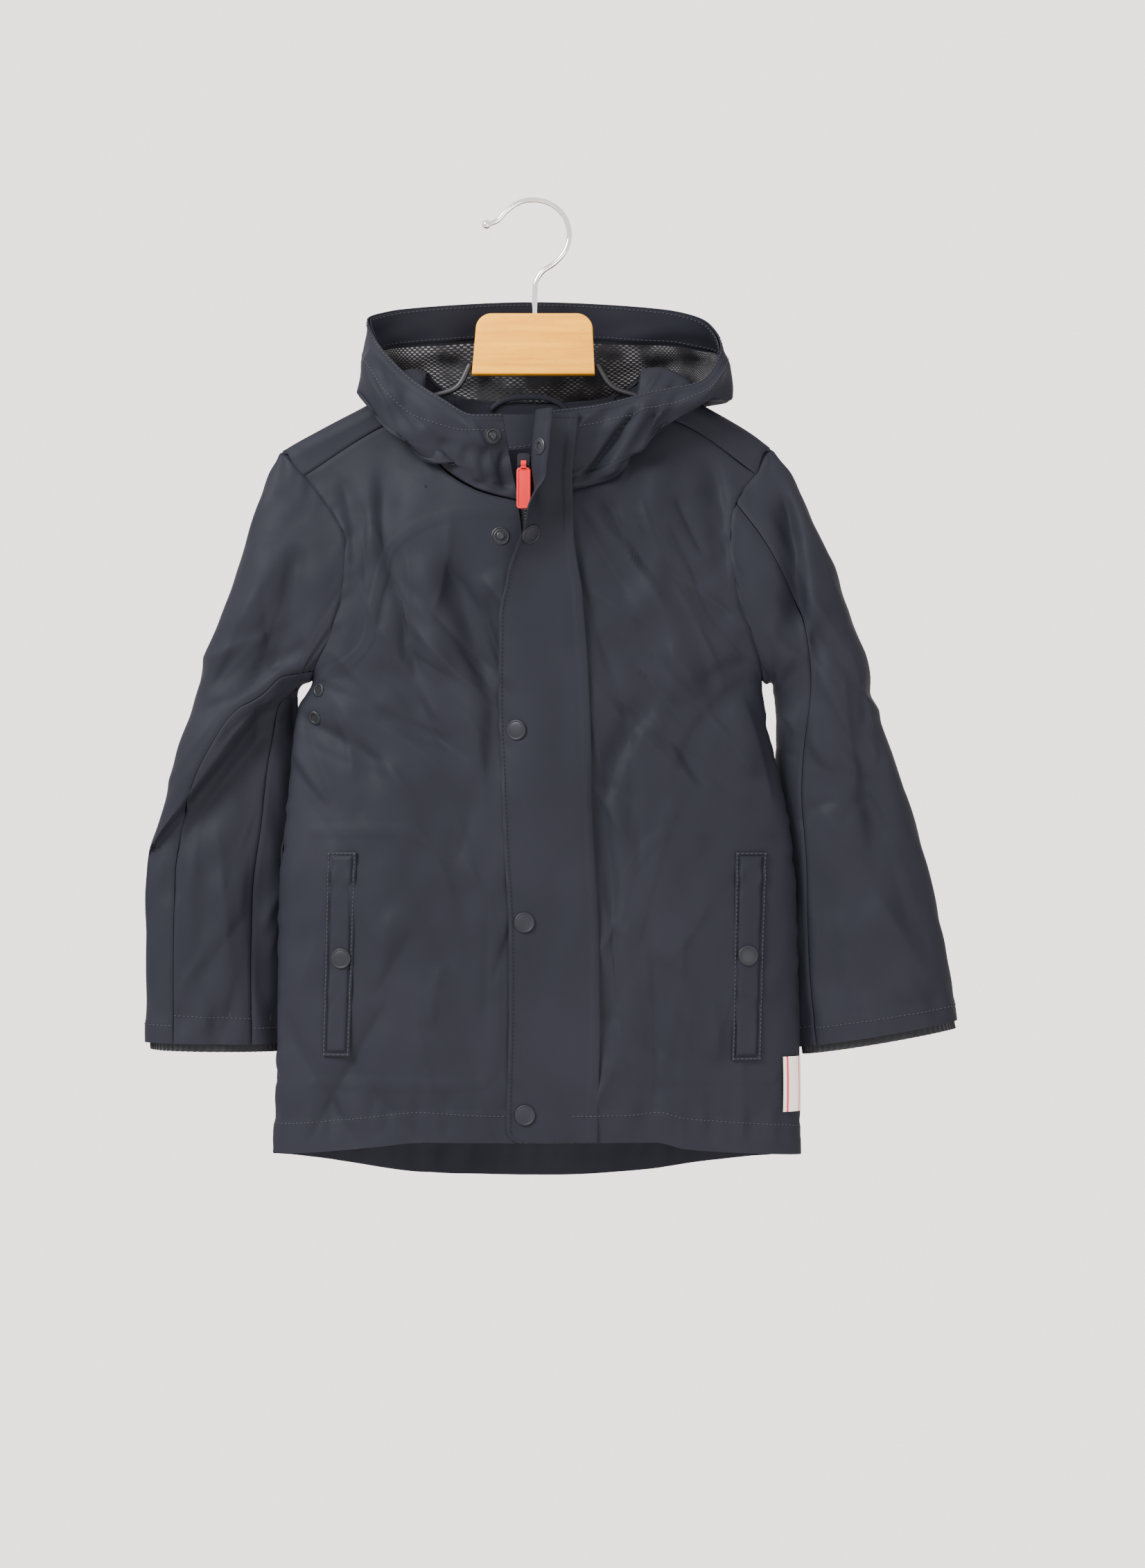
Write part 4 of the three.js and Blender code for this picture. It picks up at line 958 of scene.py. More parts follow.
def elbow_step(x, z):
    """How far the cloth under the bent elbow's fold lies behind the fold's edge."""
    away, along, side = beside(elbow_line(np.linspace(0, 1, 40)), x, z)
    below = away * side
    step = mix(ELBOW_STEP_HIGH, ELBOW_STEP_LOW, along) * smooth(0.5 + below / 5)
    return step * np.exp(-((np.maximum(0, below) / ELBOW_REACH) ** 2))


sleeve_rumple = rumple(14, 34, 0.45, stretch=1.5)
sleeve_creases = {
    "right": folds(crumpled(121, 26, (-270, -600), (-175, -220), -112, 16, 1.0)
                   + crumpled(122, 6, (-225, -380), (-175, -310), -138, 10, 1.2), crisp=True),
    "left": folds(crumpled(123, 26, (185, -600), (285, -220), -70, 18, 1.0)
                  + crumpled(124, 7, (190, -420), (240, -330), -48, 14, 1.2), crisp=True),
}


def sleeve_at(wearer, ring, theta):
    """The sleeve's outer face: ring 0 lies in the armhole and ring 10 at the end, and theta runs
    round the arm from its outer edge over the front. Below 0 it turns in at the seam."""
    sign = sign_of[wearer]
    shape = sleeve_shape[wearer]
    along, rise = np.cos(theta), np.sin(theta)
    front = rise >= 0
    width = np.sign(along) * np.abs(along) ** FLAT_ACROSS
    bulge = np.sign(rise) * np.abs(rise) ** FLAT_DEEP

    def ring_at(k):
        share = (1 + width) / 2
        return np.stack([
            mix(shape["inner_x"](k), shape["outer_x"](k), share),
            shape["centre"](k) - width * shape["yaw"](k) - bulge * shape["depth"](k),
            mix(shape["inner_z"](k), shape["outer_z"](k), share),
        ], -1)

    down = (1 - along) / 2
    forward = route([shoulder_tip[wearer], *armhole_front[wearer]])(down)
    behind = route(armhole_back[wearer])(down)
    x, z = np.moveaxis(np.where(front[..., None], forward, behind), -1, 0)
    seat = body_at(angle_at(x, z), z, np.where(front, -1, 1))
    hold = np.exp(-np.maximum(0, ring) / HOLE_REACH) * (1 - smooth(ring / 7))
    place = ring_at(np.maximum(0, ring)) + (seat - ring_at(0 * ring)) * hold[..., None]
    deep = sleeve_folds[wearer](place[..., 0], place[..., 2]) * smooth(ring / 1.5)
    if wearer == "right":
        deep = deep + elbow_step(place[..., 0], place[..., 2]) * smooth((ring - 1) / 2)
    behind_deep = -BEHIND_SHARE * deep * smooth(-bulge * 1.5)
    place[..., 1] += np.where(front, deep * smooth(bulge * 1.5), behind_deep)
    near_armpit = np.exp(-ring) * down**6
    room = ARMPIT_ROOM * near_armpit * smooth(ring / 0.3)
    place[..., 0] += sign * (SET_IN * smooth(ring / 0.7) + room)
    hidden = ((1 - width) / 2) ** 3
    below_hole = np.maximum(0, ring)
    place[..., 0] -= sign * side_tuck[wearer]["inward"](below_hole) * hidden
    place[..., 1] += side_tuck[wearer]["back"](below_hole) * hidden
    tucked = np.clip(-ring / (TUCK_ROW * CUFF_RING), 0, 1)
    place[..., 0] -= sign * TUCK * tucked
    place[..., 1] -= np.sign(place[..., 1]) * TUCK_DEPTH * smooth(3 * tucked)
    return place


def sleeve_relief(wearer, seed):
    def relief(points, ways, u, v):
        x, z = points[..., 0], points[..., 2]
        from_hole = ways["top"] - TUCK
        edge = smooth(ways["start"] / 12) * smooth(ways["end"] / 12) * smooth(from_hole / 25)
        seam = -SEAM_DIP * np.exp(-((from_hole / 1.6) ** 2))
        turned_up = doubled(ways["foot"], CUFF_HEM, HEM_RISE, HEM_SLOPE)
        drawn = gathers(ways["foot"] - CUFF_HEM, ways["start"], 0.8, 12, seed)
        eased = gathers(from_hole, ways["start"], 0.6, 10, seed + 1) * smooth(from_hole / 3)
        soft = sleeve_rumple(x, z + 2 * points[..., 1]) - sleeve_creases[wearer](x, z)
        return soft * edge + seam + turned_up + drawn + eased

    return relief


def sleeve(wearer):
    outward = sign_of[wearer]
    shape = sleeve_shape[wearer]
    gap = 0.005

    def seams(ring):
        first = np.radians(shape["seam_a"](ring))
        second = np.radians(np.maximum(shape["seam_b"](ring), shape["seam_a"](ring) + 3))
        return first, second

    def under_at(u, v):
        first, second = seams(v * CUFF_RING)
        return sleeve_at(wearer, v * CUFF_RING, mix(first + gap, second - gap, u))

    def upper_at(u, v):
        first, second = seams(v * CUFF_RING)
        return sleeve_at(wearer, v * CUFF_RING, mix(second + gap, first + 2 * math.pi - gap, u))

    seed = 41 if wearer == "right" else 44
    rows = np.concatenate([[-TUCK_ROW, -0.6 * TUCK_ROW, -0.25 * TUCK_ROW], spread(170)])
    rests = ["back", f"front_{wearer}"]
    under = Cut(f"sleeve_under_{wearer}", under_at, (spread(34), rows), outward, shell,
                relief=sleeve_relief(wearer, seed), rolled=("start", "end"), roll=SEWN_ROLL)
    under.hang(f"sleeve_under_{wearer}", "shell", rests, "hung")
    upper = Cut(f"sleeve_upper_{wearer}", upper_at, (spread(116), rows), outward, shell,
                relief=sleeve_relief(wearer, seed + 7), rolled=("start", "end"), roll=SEWN_ROLL)
    upper.hang(f"sleeve_upper_{wearer}", "shell", rests, "hung")
    runs = [row_at(upper, CUFF_HEM, np.linspace(0.01, 0.99, 160)),
            row_at(under, CUFF_HEM, np.linspace(0.03, 0.97, 60))]
    stitched(f"sleeve_{wearer}_stitches", runs)


for wearer in sign_of:
    sleeve(wearer)

# Inner cuffs. A short knitted tube inside each sleeve's end, ribbed along the arm, sewn in above
# the hem so that its edge peeps out below the sleeve.

CUFF_RIBS = 64
KNIT = 1.2
INNER_CUFF_RINGS = (8.5, 9.5)


def knit(name, colour):
    material, shader, _, cut = finish_of(name, Roughness=0.85, Specular_IOR_Level=0.2, Sheen_Weight=0.2)
    loops = noise(cut, 1800, 1)
    tone = noise(cut, 70, 2)
    feed(shader, Base_Color=tone.blend(times(0.75, colour), colour),
         Normal=bumped(loops, 0.5, 0.0004))
    return material


rib_knit = knit("black rib knit", (0.012, 0.013, 0.016, 1))


def inner_cuff(wearer):
    def at(u, v):
        return sleeve_at(wearer, mix(*INNER_CUFF_RINGS, v), u * 2 * math.pi)

    def ribbed(points, ways, u, v):
        return 0.45 * np.cos(2 * math.pi * CUFF_RIBS * u) - 0.6 * np.sin(math.pi * v)

    shares = (spread(6 * CUFF_RIBS), spread(12))
    cuff = Cut(f"inner_cuff_{wearer}", at, shares, sign_of[wearer], rib_knit,
               inset=CLOTH + KNIT, thickness=KNIT, ring=True, relief=ribbed)
    cuff.hang(f"inner_cuff_{wearer}", "rib", [f"sleeve_upper_{wearer}"], "hung")


for wearer in sign_of:
    inner_cuff(wearer)

# Hood. Two halves of coated cloth joined along the centre, sewn to the neck so that the front
# stands up as a collar, folded over the shoulders and hanging open behind the hanger. A facing
# of the same cloth is stitched inside its edge.

hood_curves = {
    "rise": [
        (-14, -35, -205), (-42, -36, -199), (-73, -29, -180), (-88, -20, -148), (-89, -3, -121),
        (-78, 14, -133), (-56, 21, -151), (0, 27, -166), (56, 21, -151), (80, 17, -131),
        (89, -3, -119.5), (84, -20, -144), (67, -32, -186), (41, -36.5, -197), (14, -35.5, -202),
    ],
    "fold": [
        (-17, -36.5, -190), (-43, -38.5, -188), (-79, -34, -185), (-103, -27, -166),
        (-122, -8, -138), (-108, 29, -146), (-80, 36, -190), (0, 38, -214), (80, 36, -188),
        (118, 27, -148), (135, -9, -142), (116, -27, -150), (76, -35, -176), (42, -37.4, -184),
        (14, -37, -190),
    ],
    "bulge": [
        (-20, -38.5, -172), (-44, -41, -172), (-77, -41, -166), (-105, -37, -149), (-126, -6, -118),
        (-124, 25, -120), (-106, 44, -136), (0, 48, -150), (106, 44, -134), (138, 25, -118),
        (141, -6, -119), (126, -34, -139), (84, -41, -156), (42, -39.6, -167), (13, -39, -172),
    ],
    "rim": [
        (-23, -40, -156.5), (-43, -41, -157), (-66, -38, -145), (-90, -27, -128), (-114, -7, -100),
        (-121, 4, -84), (-104, 15, -76), (-2, 27, -68), (100, 15, -76), (126, 4, -87),
        (134, -7, -104), (120, -25, -131), (84, -34, -140), (44, -38.5, -150), (12, -40, -154),
    ],
}
hood_lines = {
    name: [glide(station_keys, [row[axis] for row in rows]) for axis in range(3)]
    for name, rows in hood_curves.items()
}
HOOD_LEVELS = (0, 0.18, 0.38, 0.5, 0.74, 1)
HOOD_FOLD_RADIUS = 6
HOOD_ROWS = 14
LINING_ROW = 8
FACING_END = 13.97
facing_edge = glide(station_keys, [
    11, 11, 11, 11.2, 11.2, 11.8, 12.5, 12.8, 12.5, 11.8, 11.2, 11.2, 11, 11, 11,
])


def hood_at(u, v):
    """The hood's outer face: u runs round the neck and v from the neck seam to the rim."""
    seat = wrap_at(angle_at(neck_x(u), neck_z(u)), neck_way(u))
    hole_centre = -120
    reach = np.hypot(seat[..., 0], seat[..., 2] - hole_centre)
    neck = seat + np.stack([
        -seat[..., 0] / reach * SEAM_GAP * 2,
        np.sign(seat[..., 1]) * SEAM_GAP,
        (hole_centre - seat[..., 2]) / reach * SEAM_GAP * 2,
    ], -1)
    rise, fold, bulge, rim = (
        np.stack([axis(u) for axis in hood_lines[name]], -1)
        for name in ("rise", "fold", "bulge", "rim")
    )
    onward = bulge - rise
    onward *= HOOD_FOLD_RADIUS / np.linalg.norm(onward, axis=-1, keepdims=True)
    levels = np.stack([neck, rise, fold - onward, fold + onward, bulge, rim])
    place = np.empty(u.shape + (3,))
    for i in range(u.shape[0]):
        for axis in range(3):
            place[i, :, axis] = glide(HOOD_LEVELS, levels[:, i, 0, axis])(v[i])
    return place


hood_folds = folds([
    ([(-20, -180), (-24, -194), (-20, -212)], 3.5, 2.4, 0.3),
    ([(-34, -178), (-36, -192), (-31, -210)], 3.5, 2.6, -0.3),
    ([(-46, -176), (-50, -190), (-44, -206)], 4, 2.0, 0.3),
    ([(-14, -206), (-30, -208), (-48, -204)], 3, 1.6, 0.2),
    ([(-62, -172), (-66, -186), (-58, -200)], 5, 1.8, 0.2),
    ([(78, -146), (60, -170), (44, -192), (28, -208)], 4.5, 6.5, 0.45),
    ([(84, -140), (72, -166), (58, -188), (46, -202)], 5, -2.2, 0.2),
    ([(92, -146), (78, -170), (66, -187), (52, -202)], 4, 4.6, -0.4),
    ([(104, -138), (92, -156), (78, -176)], 5, 1.8, 0.2),
    ([(-96, -134), (-88, -152), (-76, -168)], 6, 1.8, 0.2),
    ([(-112, -112), (-104, -132), (-92, -150)], 6, -1.6, 0.2),
])
hood_creases = folds([
    *crumpled(131, 8, (-110, -185), (-35, -125), -50, 18, 1.3),
    *crumpled(132, 8, (40, -190), (115, -125), -128, 14, 1.5),
], crisp=True)
hood_rumple = rumple(27, 42, 0.9)


def hood_form(points, v):
    """The folds that the shell, its facing and the net share, at share v of the way to the rim."""
    x, y, z = np.moveaxis(points, -1, 0)
    ease = smooth(v / 0.12) * smooth((1 - v) / 0.16)
    front = smooth((-4 - y) / 12) * (hood_folds(x, z) + hood_creases(x, z))
    return (hood_rumple(x + y, z - y) - front) * ease


def hood_relief(seed):
    def relief(points, ways, u, v):
        joined = gathers(ways["top"], ways["start"], 0.7, 12, seed) * smooth(ways["top"] / 3)
        hem = doubled(ways["foot"], 5, 0.45, 1.6)
        return hood_form(points, v) + joined + hem

    return relief


hood = {}
hood_spans = {"right": (0.0, 0.4997), "left": (0.5003, 1.0)}
for wearer, span in hood_spans.items():
    hood[wearer] = Cut(
        f"hood_{wearer}", lambda u, v, span=span: hood_at(mix(*span, u), v),
        (spread(130), spread(96, 0.2)), -1, shell, relief=hood_relief(61 if wearer == "right" else 62),
        rolled=("top", "end" if wearer == "right" else "start"), roll=SEWN_ROLL,
    )
    hood[wearer].hang(f"hood_{wearer}", "shell", ["back", f"front_{wearer}"], held="hung")


def round_the_hood(level):
    """A row round both halves, at the share of the way to the rim that level gives for each u."""
    shares = np.linspace(0.01, 0.99, 200)
    return [cut.on(shares, level(mix(*hood_spans[wearer], shares)))
            for wearer, cut in hood.items()]


def facing_share(u):
    """Where the facing starts, as a share of the way from the neck to the rim."""
    return (facing_edge(u) + 0.15) / HOOD_ROWS


RIM_STITCHES = 0.985
FACING_STITCHES = 0.008
stitched("hood_stitches", round_the_hood(lambda u: RIM_STITCHES + 0 * u)
         + round_the_hood(lambda u: facing_share(u) + FACING_STITCHES))


def facing_at(u, v):
    return hood_at(u, mix(facing_share(u), FACING_END / HOOD_ROWS, v))


def facing_relief(points, ways, u, v):
    return hood_form(points, mix(facing_share(u), 1, v))


LINING_INSET = CLOTH + 0.6
LINING_CLOTH = 0.7
facing = Cut("hood_facing", facing_at, (spread(260), spread(28)), -1, shell,
             inset=LINING_INSET, thickness=LINING_CLOTH, relief=facing_relief)
facing.hang("hood_facing", "shell", ["hood_right", "hood_left"], held="stretched")


def lining_row(cut, v, shares):
    """A row of stitches on the inner face of a lining piece."""
    spots, slopes = cut.on(shares, np.full(shares.shape, v), -(LINING_CLOTH + 0.3))
    return spots, -slopes


stitched("hood_facing_stitches", [lining_row(facing, v, np.linspace(0.02, 0.98, 500))
                                  for v in (0.06, 0.95)])

# Hood lining. Black knitted net over a silver-grey coated layer, sewn under the facing; it hangs
# in loose soft folds inside the bag of the hood.

NET_PITCH = 1.9 * MM


def net_over_silver():
    material, shader, spot, cut = finish_of("black net over silver", Specular_IOR_Level=0.3)
    directions = []
    for turn in (90, 210, 330):
        way = (math.cos(math.radians(turn)), math.sin(math.radians(turn)), 0)
        tilt = cut.of("ShaderNodeVectorMath", {"operation": "DOT_PRODUCT"}, output=1, _0=cut, _1=way)
        directions.append(tilt.sum_of("COSINE", tilt * (2 * math.pi * 1.1547 / NET_PITCH)))
    cell = directions[0] + directions[1] + directions[2]
    hole_shade = cell.between(0.15, 0.75)
    worn = noise(spot, 34, 3).between(0.42, 0.7)
    silver = worn.blend((0.008, 0.008, 0.009, 1), (0.24, 0.24, 0.25, 1))
    feed(shader, Base_Color=hole_shade.blend((0.010, 0.010, 0.012, 1), silver),
         Roughness=0.8 - 0.35 * hole_shade, Metallic=0.5 * hole_shade,
         Normal=bumped(1 - hole_shade, 0.8, 0.0005))
    return material


net = net_over_silver()
net_rumple = rumple(33, 24, 1.3)


def lining_relief(points, ways, u, v):
    ease = smooth(ways["top"] / 14) * smooth(ways["foot"] / 6)
    loose = np.abs(net_rumple(points[..., 0], points[..., 2] + points[..., 1])) * ease
    return hood_form(points, mix(LINING_ROW, facing_edge(u), v) / HOOD_ROWS) - loose


def lining_at(u, v):
    return hood_at(u, mix(LINING_ROW, facing_edge(u), v) / HOOD_ROWS)


lining = Cut("hood_lining", lining_at, (spread(240), spread(50)), -1, net,
             inset=LINING_INSET, thickness=LINING_CLOTH, relief=lining_relief)
lining.hang("hood_lining", "net", ["hood_right", "hood_left"], held="gathered")

# Back neck facing and hang loop. A strip of shell cloth covers the neck seam inside the back,
# and a narrow rolled loop of the same cloth is caught in at its ends, with the net behind it.


FACING_SPAN = (5.4, 8.6)
FACING_DROP = (1, 15)


def neck_facing_at(u, v):
    k = mix(*FACING_SPAN, u) / LAST_STATION
    return wrap_at(angle_at(neck_x(k), neck_z(k)), neck_way(k) + mix(*FACING_DROP, v))


neck_facing = Cut("neck_facing", neck_facing_at, (spread(80), spread(16)), 1, shell,
                  inset=CLOTH + SEAM_GAP, thickness=LINING_CLOTH)
neck_facing.hang("neck_facing", "shell", ["back"], held="stretched")


LOOP_RIGHT, LOOP_LEFT = -32, 23
LOOP_TOP, LOOP_FALL, LOOP_WIDTH = -137, 9, 4.4
LOOP_BACK, LOOP_BOW = 9.8, 1.4


def hang_loop_at(u, v):
    fall = LOOP_TOP - LOOP_FALL * np.abs(2 * u - 1) ** 3 - LOOP_WIDTH * v
    back_from_front = LOOP_BACK - LOOP_BOW * np.sin(math.pi * u) + 0 * v
    return np.stack([mix(LOOP_RIGHT, LOOP_LEFT, u), back_from_front, fall], -1)


def rolled_strip(points, ways, u, v):
    return 0.9 * np.sqrt(np.clip(4 * v * (1 - v), 0, 1)) - 0.4


hang_loop = Cut("hang_loop", hang_loop_at, (spread(70), spread(10)), -1, shell, thickness=1.0,
                relief=rolled_strip)
stands_for(hang_loop.piece, "hang_loop")

# Zip. A woven tape behind both front edges carries two rows of moulded teeth. A gunmetal slider
# runs on them, and a plain red rubber pull with a raised border swings on the slider's pin.

collar = columns("z y", [
    (-230, -34), (-213, -34.6), (-190, -37.2), (-172, -39.2), (-154, -40.6),
])["y"]


def face_at(x, z, lift):
    """The centre front, where the collar stands above the neck seam."""
    low = body_at(angle_at(x, z), z, -1)[..., 1]
    return np.stack([x + 0 * z, mix(low, collar(z), smooth((z + 232) / 20)) - lift, z + 0 * x], -1)


TAPE_TOP, TAPE_FOOT = -186, -668
tape = columns("z right left", [
    (TAPE_TOP, -11, 12.8), (-222, -10.6, 13), (-245, -13, 19), (TAPE_FOOT, -13, 19),
])
tape_twill = knit("black zip tape", (0.014, 0.015, 0.018, 1))


def tape_at(u, v):
    z = mix(TAPE_TOP, TAPE_FOOT, v)
    return face_at(mix(tape["right"](z), tape["left"](z), u), z, -2.3)


zip_tape = Cut("zip_tape", tape_at, (spread(12), spread(240)), -1, tape_twill, thickness=0.8)
zip_tape.hang("zip_tape", "rib", ["front_right", "front_left"], held="stretched")


def metal(name, colour, rough, wear=0.06):
    material, shader, spot, _ = finish_of(name, Metallic=1.0)
    rubbed = noise(spot, 700, 3)
    tone = noise(spot, 260, 2)
    feed(shader, Base_Color=tone.blend(times(0.85, colour), colour),
         Roughness=rough + wear * rubbed, Normal=bumped(rubbed, 0.05, 0.0001))
    return material


def moulded(name, colour, rough, specular=0.35):
    """Moulded plastic or rubber: one colour, a fine matt grain and a faint unevenness."""
    material, shader, spot, _ = finish_of(name, Specular_IOR_Level=specular)
    grain = noise(spot, 1800, 2)
    tone = noise(spot, 120, 2)
    feed(shader, Base_Color=tone.blend(times(0.88, colour), colour),
         Roughness=rough + 0.1 * grain, Normal=bumped(grain, 0.12, 0.0001))
    return material


gunmetal = metal("dark gunmetal", (0.030, 0.032, 0.038, 1), 0.38)
dull_steel = metal("dull steel wire", (0.045, 0.046, 0.05, 1), 0.5)
eyelet_paint = moulded("dark painted eyelet", (0.0095, 0.011, 0.0145, 1), 0.4, 0.2)
dark_paint = moulded("dark painted metal", (0.0075, 0.0088, 0.0125, 1), 0.36, 0.32)
tooth_plastic = moulded("black tooth plastic", (0.02, 0.021, 0.025, 1), 0.45)
TOOTH_PITCH = 2.2
TOOTH_OFFSET = 1.1
TEETH_MIDDLE, TEETH_TOP, TEETH_FOOT = -4.6, -198, -664


def tooth_row(offset, start):
    levels = np.arange(TEETH_TOP - start, TEETH_FOOT, -TOOTH_PITCH)
    spots = face_at(np.full(levels.shape, TEETH_MIDDLE + offset), levels, -1.7)
    return spots, np.tile([0.0, -1.0, 0.0], (len(levels), 1))


stitched("zip_teeth", [tooth_row(-TOOTH_OFFSET, 0), tooth_row(TOOTH_OFFSET, TOOTH_PITCH / 2)],
         tooth_plastic, Pitch=TOOTH_PITCH * MM, Stitch_Length=0.0014, Thread_Width=0.0034,
         Thread_Rise=0.0018)
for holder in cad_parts["zip_slider"].material_slots:
    holder.material = gunmetal


def rounded_outline(width, height, radius, steps=8):
    corners = [(1, -1, -90), (1, 1, 0), (-1, 1, 90), (-1, -1, 180)]
    outline = []
    for sx, sz, start in corners:
        for turn in np.radians(np.linspace(start, start + 90, steps)):
            outline.append((sx * (width / 2 - radius) + radius * math.cos(turn),
                            sz * (height / 2 - radius) + radius * math.sin(turn)))
    return np.array(outline)


def drawn_in(outline, inset):
    """A convex outline moved inwards by inset."""
    tangent = np.roll(outline, -1, axis=0) - np.roll(outline, 1, axis=0)
    tangent /= np.linalg.norm(tangent, axis=1, keepdims=True)
    return outline - inset * np.stack([tangent[:, 1], -tangent[:, 0]], -1)


def closed_tube(rings, count):
    """The faces of a tube of rings with count points each, and of its two flat ends."""
    faces = []
    for k in range(rings - 1):
        for i in range(count):
            j = (i + 1) % count
            faces.append((k * count + i, k * count + j, (k + 1) * count + j, (k + 1) * count + i))
    faces.append(tuple(range(count - 1, -1, -1)))
    faces.append(tuple((rings - 1) * count + i for i in range(count)))
    return faces


def layered(outline, levels):
    """A solid with two like sides: the outline drawn in by each level's inset at its depth Y."""
    both = levels + [(inset, -y) for inset, y in reversed(levels)]
    points = [(x, y, z) for inset, y in both for x, z in drawn_in(outline, inset)]
    return np.array(points), closed_tube(len(both), len(outline))


def lathed(profile, sides):
    """Points and faces of a profile of (radius, height) turned about the Z axis."""
    points, faces, rings = [], [], []
    for radius, height in profile:
        if rings and (radius, height) == profile[0]:
            rings.append(rings[0])
        elif radius == 0:
            rings.append([len(points)] * sides)
            points.append((0, 0, height))
        else:
            rings.append([len(points) + i for i in range(sides)])
            turns = 2 * math.pi * np.arange(sides) / sides
            points += [(radius * math.cos(t), radius * math.sin(t), height) for t in turns]
    for lower, upper in zip(rings, rings[1:]):
        for i in range(sides):
            j = (i + 1) % sides
            face = [lower[i], lower[j], upper[j], upper[i]]
            faces.append(tuple(dict.fromkeys(face)))
    return np.array(points, float), faces


def together(parts):
    points, faces = [], []
    for spots, sides in parts:
        faces += [tuple(i + len(points) for i in face) for face in sides]
        points += np.asarray(spots).tolist()
    return np.array(points), faces


PIN = np.array([-7.5, -41.6, -192.0])
PULL_LENGTH, PULL_THICKNESS = 29, 2.2
pull_rubber = moulded("red rubber", (0.62, 0.016, 0.02, 1), 0.55, 0.2)


def pull_shape():
    half = PULL_THICKNESS / 2
    tab, tab_faces = layered(rounded_outline(10, PULL_LENGTH, 2.5), [
        (1.9, half - 0.45), (1.5, half - 0.45), (1.3, half - 0.05), (1.15, half), (0.4, half),
        (0.1, half - 0.15), (0, half - 0.45),
    ])
    neck, neck_faces = layered(rounded_outline(4, 3.6, 0.6), [(0.3, half), (0, half - 0.3)])
    ring, ring_faces = lathed([(1.2, -2), (2, -2), (2.2, -1.8), (2.2, 1.8), (2, 2), (1.2, 2), (1.2, -2)],
                              28)
    ring = ring[:, [2, 1, 0]]
    return together([
        (tab + PIN - [0, 0, 3 + PULL_LENGTH / 2], tab_faces),
        (neck + PIN - [0, 0, 2.9], neck_faces),
        (ring + PIN, ring_faces),
    ])


pull = plain_mesh("zip_pull_rubber", *pull_shape(), material=pull_rubber, sharp=40)
stands_for(pull, "zip_pull", body="zip_pull")

# Chin guard. A small folded shield of shell cloth behind the top of the zip, stitched along its
# curved lower edge, which keeps the slider off the chin.


CHIN_TOP, CHIN_FOOT = -157, -182


def chin_guard_at(u, v):
    z = mix(CHIN_TOP, CHIN_FOOT, v)
    return face_at(mix(mix(-22.4, -18, v), 11.2, u), z + 6 * v * u * u, -0.4)


chin_guard = Cut("chin_guard", chin_guard_at, (spread(44), spread(34)), -1, shell, thickness=1.0)
chin_guard.hang("chin_guard", "shell", ["front_right"], held="stretched")
stitched("chin_guard_stitches", [chin_guard.on(np.linspace(0.05, 0.97, 40), np.full(40, 0.93))])

# Storm flap. A double strip of shell cloth sewn beside the zip on the wearer's left, with an
# edge stitch all round; its top stands off and curls open, the rest is snapped down.

FLAP_CLOTH = 1.6
FLAP_LIFT = 3
FLAP_TOP, FLAP_BOTTOM = -156, -675
FLAP_CORNER = 10
FLAP_STITCHES = 2.6
flap_shape = columns("z seam width curl", [
    (-156, 32, 55, 1), (-183, 28.5, 55, 1), (-199, 27, 53, 0.95), (-219, 27.5, 46, 0.6),
    (-239, 28, 40, 0.3), (-250, 29, 42.5, 0.16), (-266, 31.5, 50, 0.06), (-280, 34, 55, 0.02),
    (-295, 35, 59.5, 0), (-317, 37, 62, 0), (-375, 40, 65.5, 0), (-425, 41.5, 64.5, 0),
    (-472, 43.5, 64.5, 0), (-518, 46.3, 64.5, 0), (-580, 47, 65, 0), (-652, 45.5, 65, 0),
    (-676, 45, 64.5, 0),
])


def flap_at(u, v):
    corner_start = 0.88
    upper = mix(FLAP_TOP, FLAP_BOTTOM + FLAP_CORNER, v / corner_start)
    lower = mix(FLAP_BOTTOM + FLAP_CORNER, FLAP_BOTTOM, (v - corner_start) / (1 - corner_start))
    z = np.where(v < corner_start, upper, lower)
    low = np.clip(FLAP_BOTTOM + FLAP_CORNER - z, 0, FLAP_CORNER)
    width = flap_shape["width"](z) - FLAP_CORNER + np.sqrt(FLAP_CORNER**2 - low**2)
    curl = np.maximum(0, flap_shape["curl"](z))
    steps, roll, flat_edge = 24, 20, 12
    stand_off, curl_over = 25, 105
    x, forward = flap_shape["seam"](z) + 0 * u, 0 * u
    for i in range(steps):
        s = u * width * ((i + 0.5) / steps)
        lean = stand_off * smooth(s / 20) + curl_over * smooth((s - width + roll + flat_edge) / roll)
        heading = np.radians(curl * lean)
        x = x - np.cos(heading) * u * width / steps
        forward = forward + np.sin(heading) * u * width / steps
    return face_at(x, z, FLAP_LIFT + forward)


flap_thread = thread("dark flap thread", (0.0055, 0.006, 0.008, 1))
flap_snaps = [(-12.6, -381), (-7, -518), (-6.5, -655)]
flap_rumple = rumple(52, 40, 0.5, stretch=2.0)


def pressed(x, z, snaps, depth=0.9, reach=11):
    """The shallow dimple that each snap pulls into the cloth round it."""
    total = 0 * x
    for sx, sz in snaps:
        total = total - depth * np.exp(-(((x - sx) ** 2 + (z - sz) ** 2) / reach**2))
    return total


def flap_relief(points, ways, u, v):
    x, z = points[..., 0], points[..., 2]
    band = doubled(ways["start"], 6.5, 0.8, 1.2)
    edge = doubled(ways["end"], 3.2, 0.35, 1.2)
    waves = gathers(ways["end"] - 3, ways["top"], 0.35, 10, 71)
    snapped = pressed(x, z, flap_snaps) * smooth((-300 - z) / 20)
    return flap_rumple(x, z) * smooth(ways["start"] / 20) + band + edge + waves + snapped


flap = Cut("flap", flap_at, (spread(40, 0.3), spread(280)), 1, shell, thickness=FLAP_CLOTH,
           relief=flap_relief, rolled=("start", "end", "foot"), roll=(1.4, 0.6))
flap.hang("flap", "shell", ["front_left", "front_right"], held="hung")


